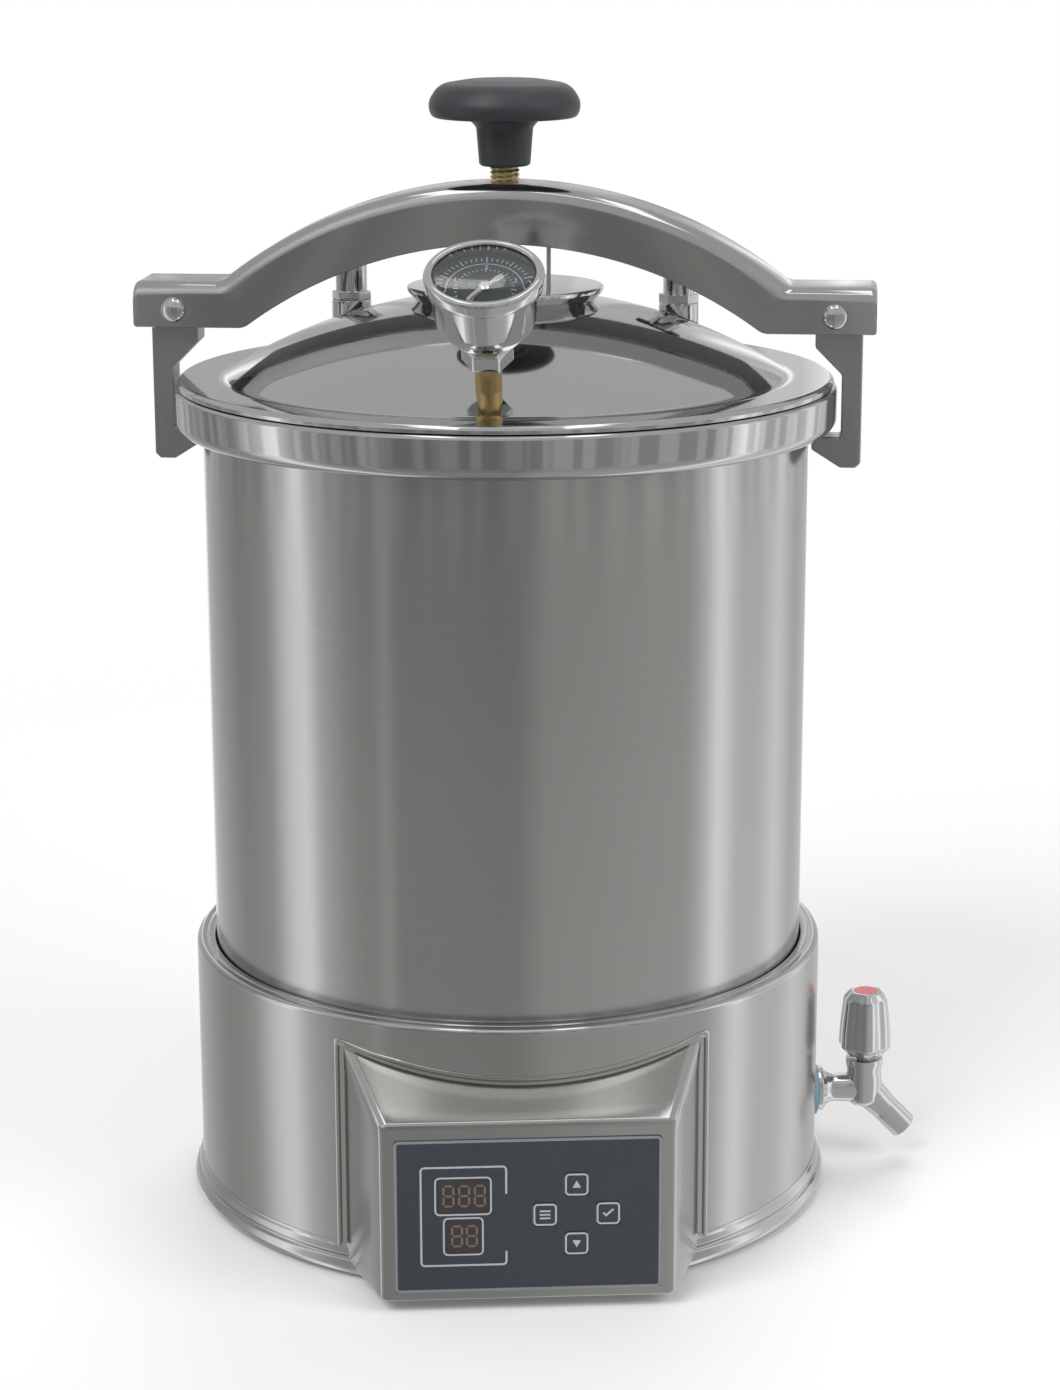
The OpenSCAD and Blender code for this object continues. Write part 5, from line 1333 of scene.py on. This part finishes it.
handle_line = rounded([(0, 18), (9.5, 18, 0.5), (11.4, 20.6, 0.6), (13.5, 22.6, 1.2), (13.0, 32, 6),
                       (11.4, 47, 3.5),
                       (8.0, 50.8, 2.0), (6.0, 50.9, 0.3), (6.0, 49), (0, 49)], 7)
handle_mesh = turned("tap_grip", handle_line, CHROME, 96, lobes=6.0, lobe_depth=0.12)
put("tap_grip", moved(handle_mesh, ON_TAP), "tap_valve", "chrome", "tap_handle")
print("tap at", TAP_X, "mm")

# %% [markdown]
# The pivots of the hooks are round-headed screws with a cross in the head. One head is made with a
# Boolean inside a Geometry Nodes tree, which then repeats it at the four places.

# %% Geometry Nodes: screw heads
PIVOT_OUT, PIVOT_Z = 154, 429
HEAD_INPUTS = [("Places", "NodeSocketGeometry"), ("Head", "NodeSocketFloat"), ("Rise", "NodeSocketFloat"),
               ("Slot", "NodeSocketFloat"),
               ("Finish", "NodeSocketMaterial")]
HEADS, wire = new_tree("cross_heads", HEAD_INPUTS)
given = wire.node("NodeGroupInput", out="Places")
head, rise, slot_w = given.also("Head"), given.also("Rise"), given.also("Slot")
ball = wire.node("GeometryNodeMeshUVSphere", None, {"Segments": 40, "Rings": 24, "Radius": 1.0},
                 out="Mesh")
ball = wire.node("GeometryNodeTransform", None, {"Geometry": ball,
                                                 "Scale": wire.node("ShaderNodeCombineXYZ", None,
                                                                    {0: head, 1: head, 2: rise})})
arms = []
for turn in (0.0, pi / 2):
    size = wire.node("ShaderNodeCombineXYZ", None, {0: head * 1.1, 1: slot_w, 2: rise * 0.9})
    cube = wire.node("GeometryNodeMeshCube", None, {"Size": size}, out="Mesh")
    lift = wire.node("ShaderNodeCombineXYZ", None, {2: rise})
    arms.append(wire.node("GeometryNodeTransform", None,
                          {"Geometry": cube, "Translation": lift, "Rotation": (0.0, 0.0, turn)}))
cross = wire.node("GeometryNodeJoinGeometry")
for arm in arms:
    HEADS.links.new(arm.socket, cross.socket.node.inputs[0])
cut_tool = wire.node("GeometryNodeMeshBoolean", {"operation": "UNION"}, {1: cross}, out="Mesh")
cut_head = wire.node("GeometryNodeMeshBoolean", {"operation": "DIFFERENCE"}, {0: ball, 1: cut_tool},
                     out="Mesh")
heads = wire.node("GeometryNodeInstanceOnPoints", None, {"Points": given, "Instance": cut_head})
close_tree(wire, heads, given.also("Finish"))


def cross_heads(name, places, head, rise, slot_w, finish, turn):
    start = bpy.data.meshes.new(name + "_places")
    start.from_pydata([Vector(p) * MM for p in places], [], [])
    values = {"Head": head * MM, "Rise": rise * MM, "Slot": slot_w * MM, "Finish": finish}
    mesh = grown(name, HEADS, values, start)
    soften(mesh, 30)
    return moved(mesh, turn)


FRONT = LID_TURN @ Matrix.Rotation(pi / 2, 4, "X")
REAR = LID_TURN @ Matrix.Rotation(-pi / 2, 4, "X")
HEAD_R, HEAD_RISE, CROSS_W, PIN_R, HALF_W = 6, 4.0, 1.3, 3.95, 20
head_sizes = (HEAD_R, HEAD_RISE, CROSS_W, MIRROR)
front_places = [(s * PIVOT_OUT, PIVOT_Z, HALF_W) for s in (-1, 1)]
rear_places = [(s * PIVOT_OUT, -PIVOT_Z, HALF_W) for s in (-1, 1)]
front_heads = cross_heads("front_heads", front_places, *head_sizes, FRONT)
rear_heads = cross_heads("rear_heads", rear_places, *head_sizes, REAR)
pins = []
for s in (-1, 1):
    pin_line = [(0, -HALF_W), (PIN_R, -HALF_W), (PIN_R, HALF_W), (0, HALF_W)]
    set_pin = LID_TURN @ Matrix.Translation((s * PIVOT_OUT * MM, 0,
                                             PIVOT_Z * MM)) @ Matrix.Rotation(pi / 2, 4, "X")
    pins.append(moved(turned("pin", pin_line, CHROME, 40), set_pin))
put("pivot_pins", joined("pivot_pins", front_heads, rear_heads, *pins), "yoke", "screw_metal",
    "pivot_screws")
print("pivot heads set")

# %% [markdown]
# What stays hidden or flat keeps its drawn mesh and gets a finish of its own.

# %% Finishes on the drawn pieces
CARRIED = {
    "base_plate": INNER, "foot_screws": CHROME, "support_ring": INNER, "gland_nuts": BRASS,
           "drain_pipe": BRASS,
    "membrane": FILM, "temp_window": WINDOW, "time_window": WINDOW, "temp_display": DISPLAY,
           "time_display": DISPLAY,
    "control_board": BOARD, "board_parts": BOARD_PARTS, "board_spacers": BRASS, "tap_backnut": BRASS,
}
for node, finish in CARRIED.items():
    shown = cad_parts[node]
    for place in shown.material_slots:
        place.material = finish
print("carried over:", len(CARRIED))
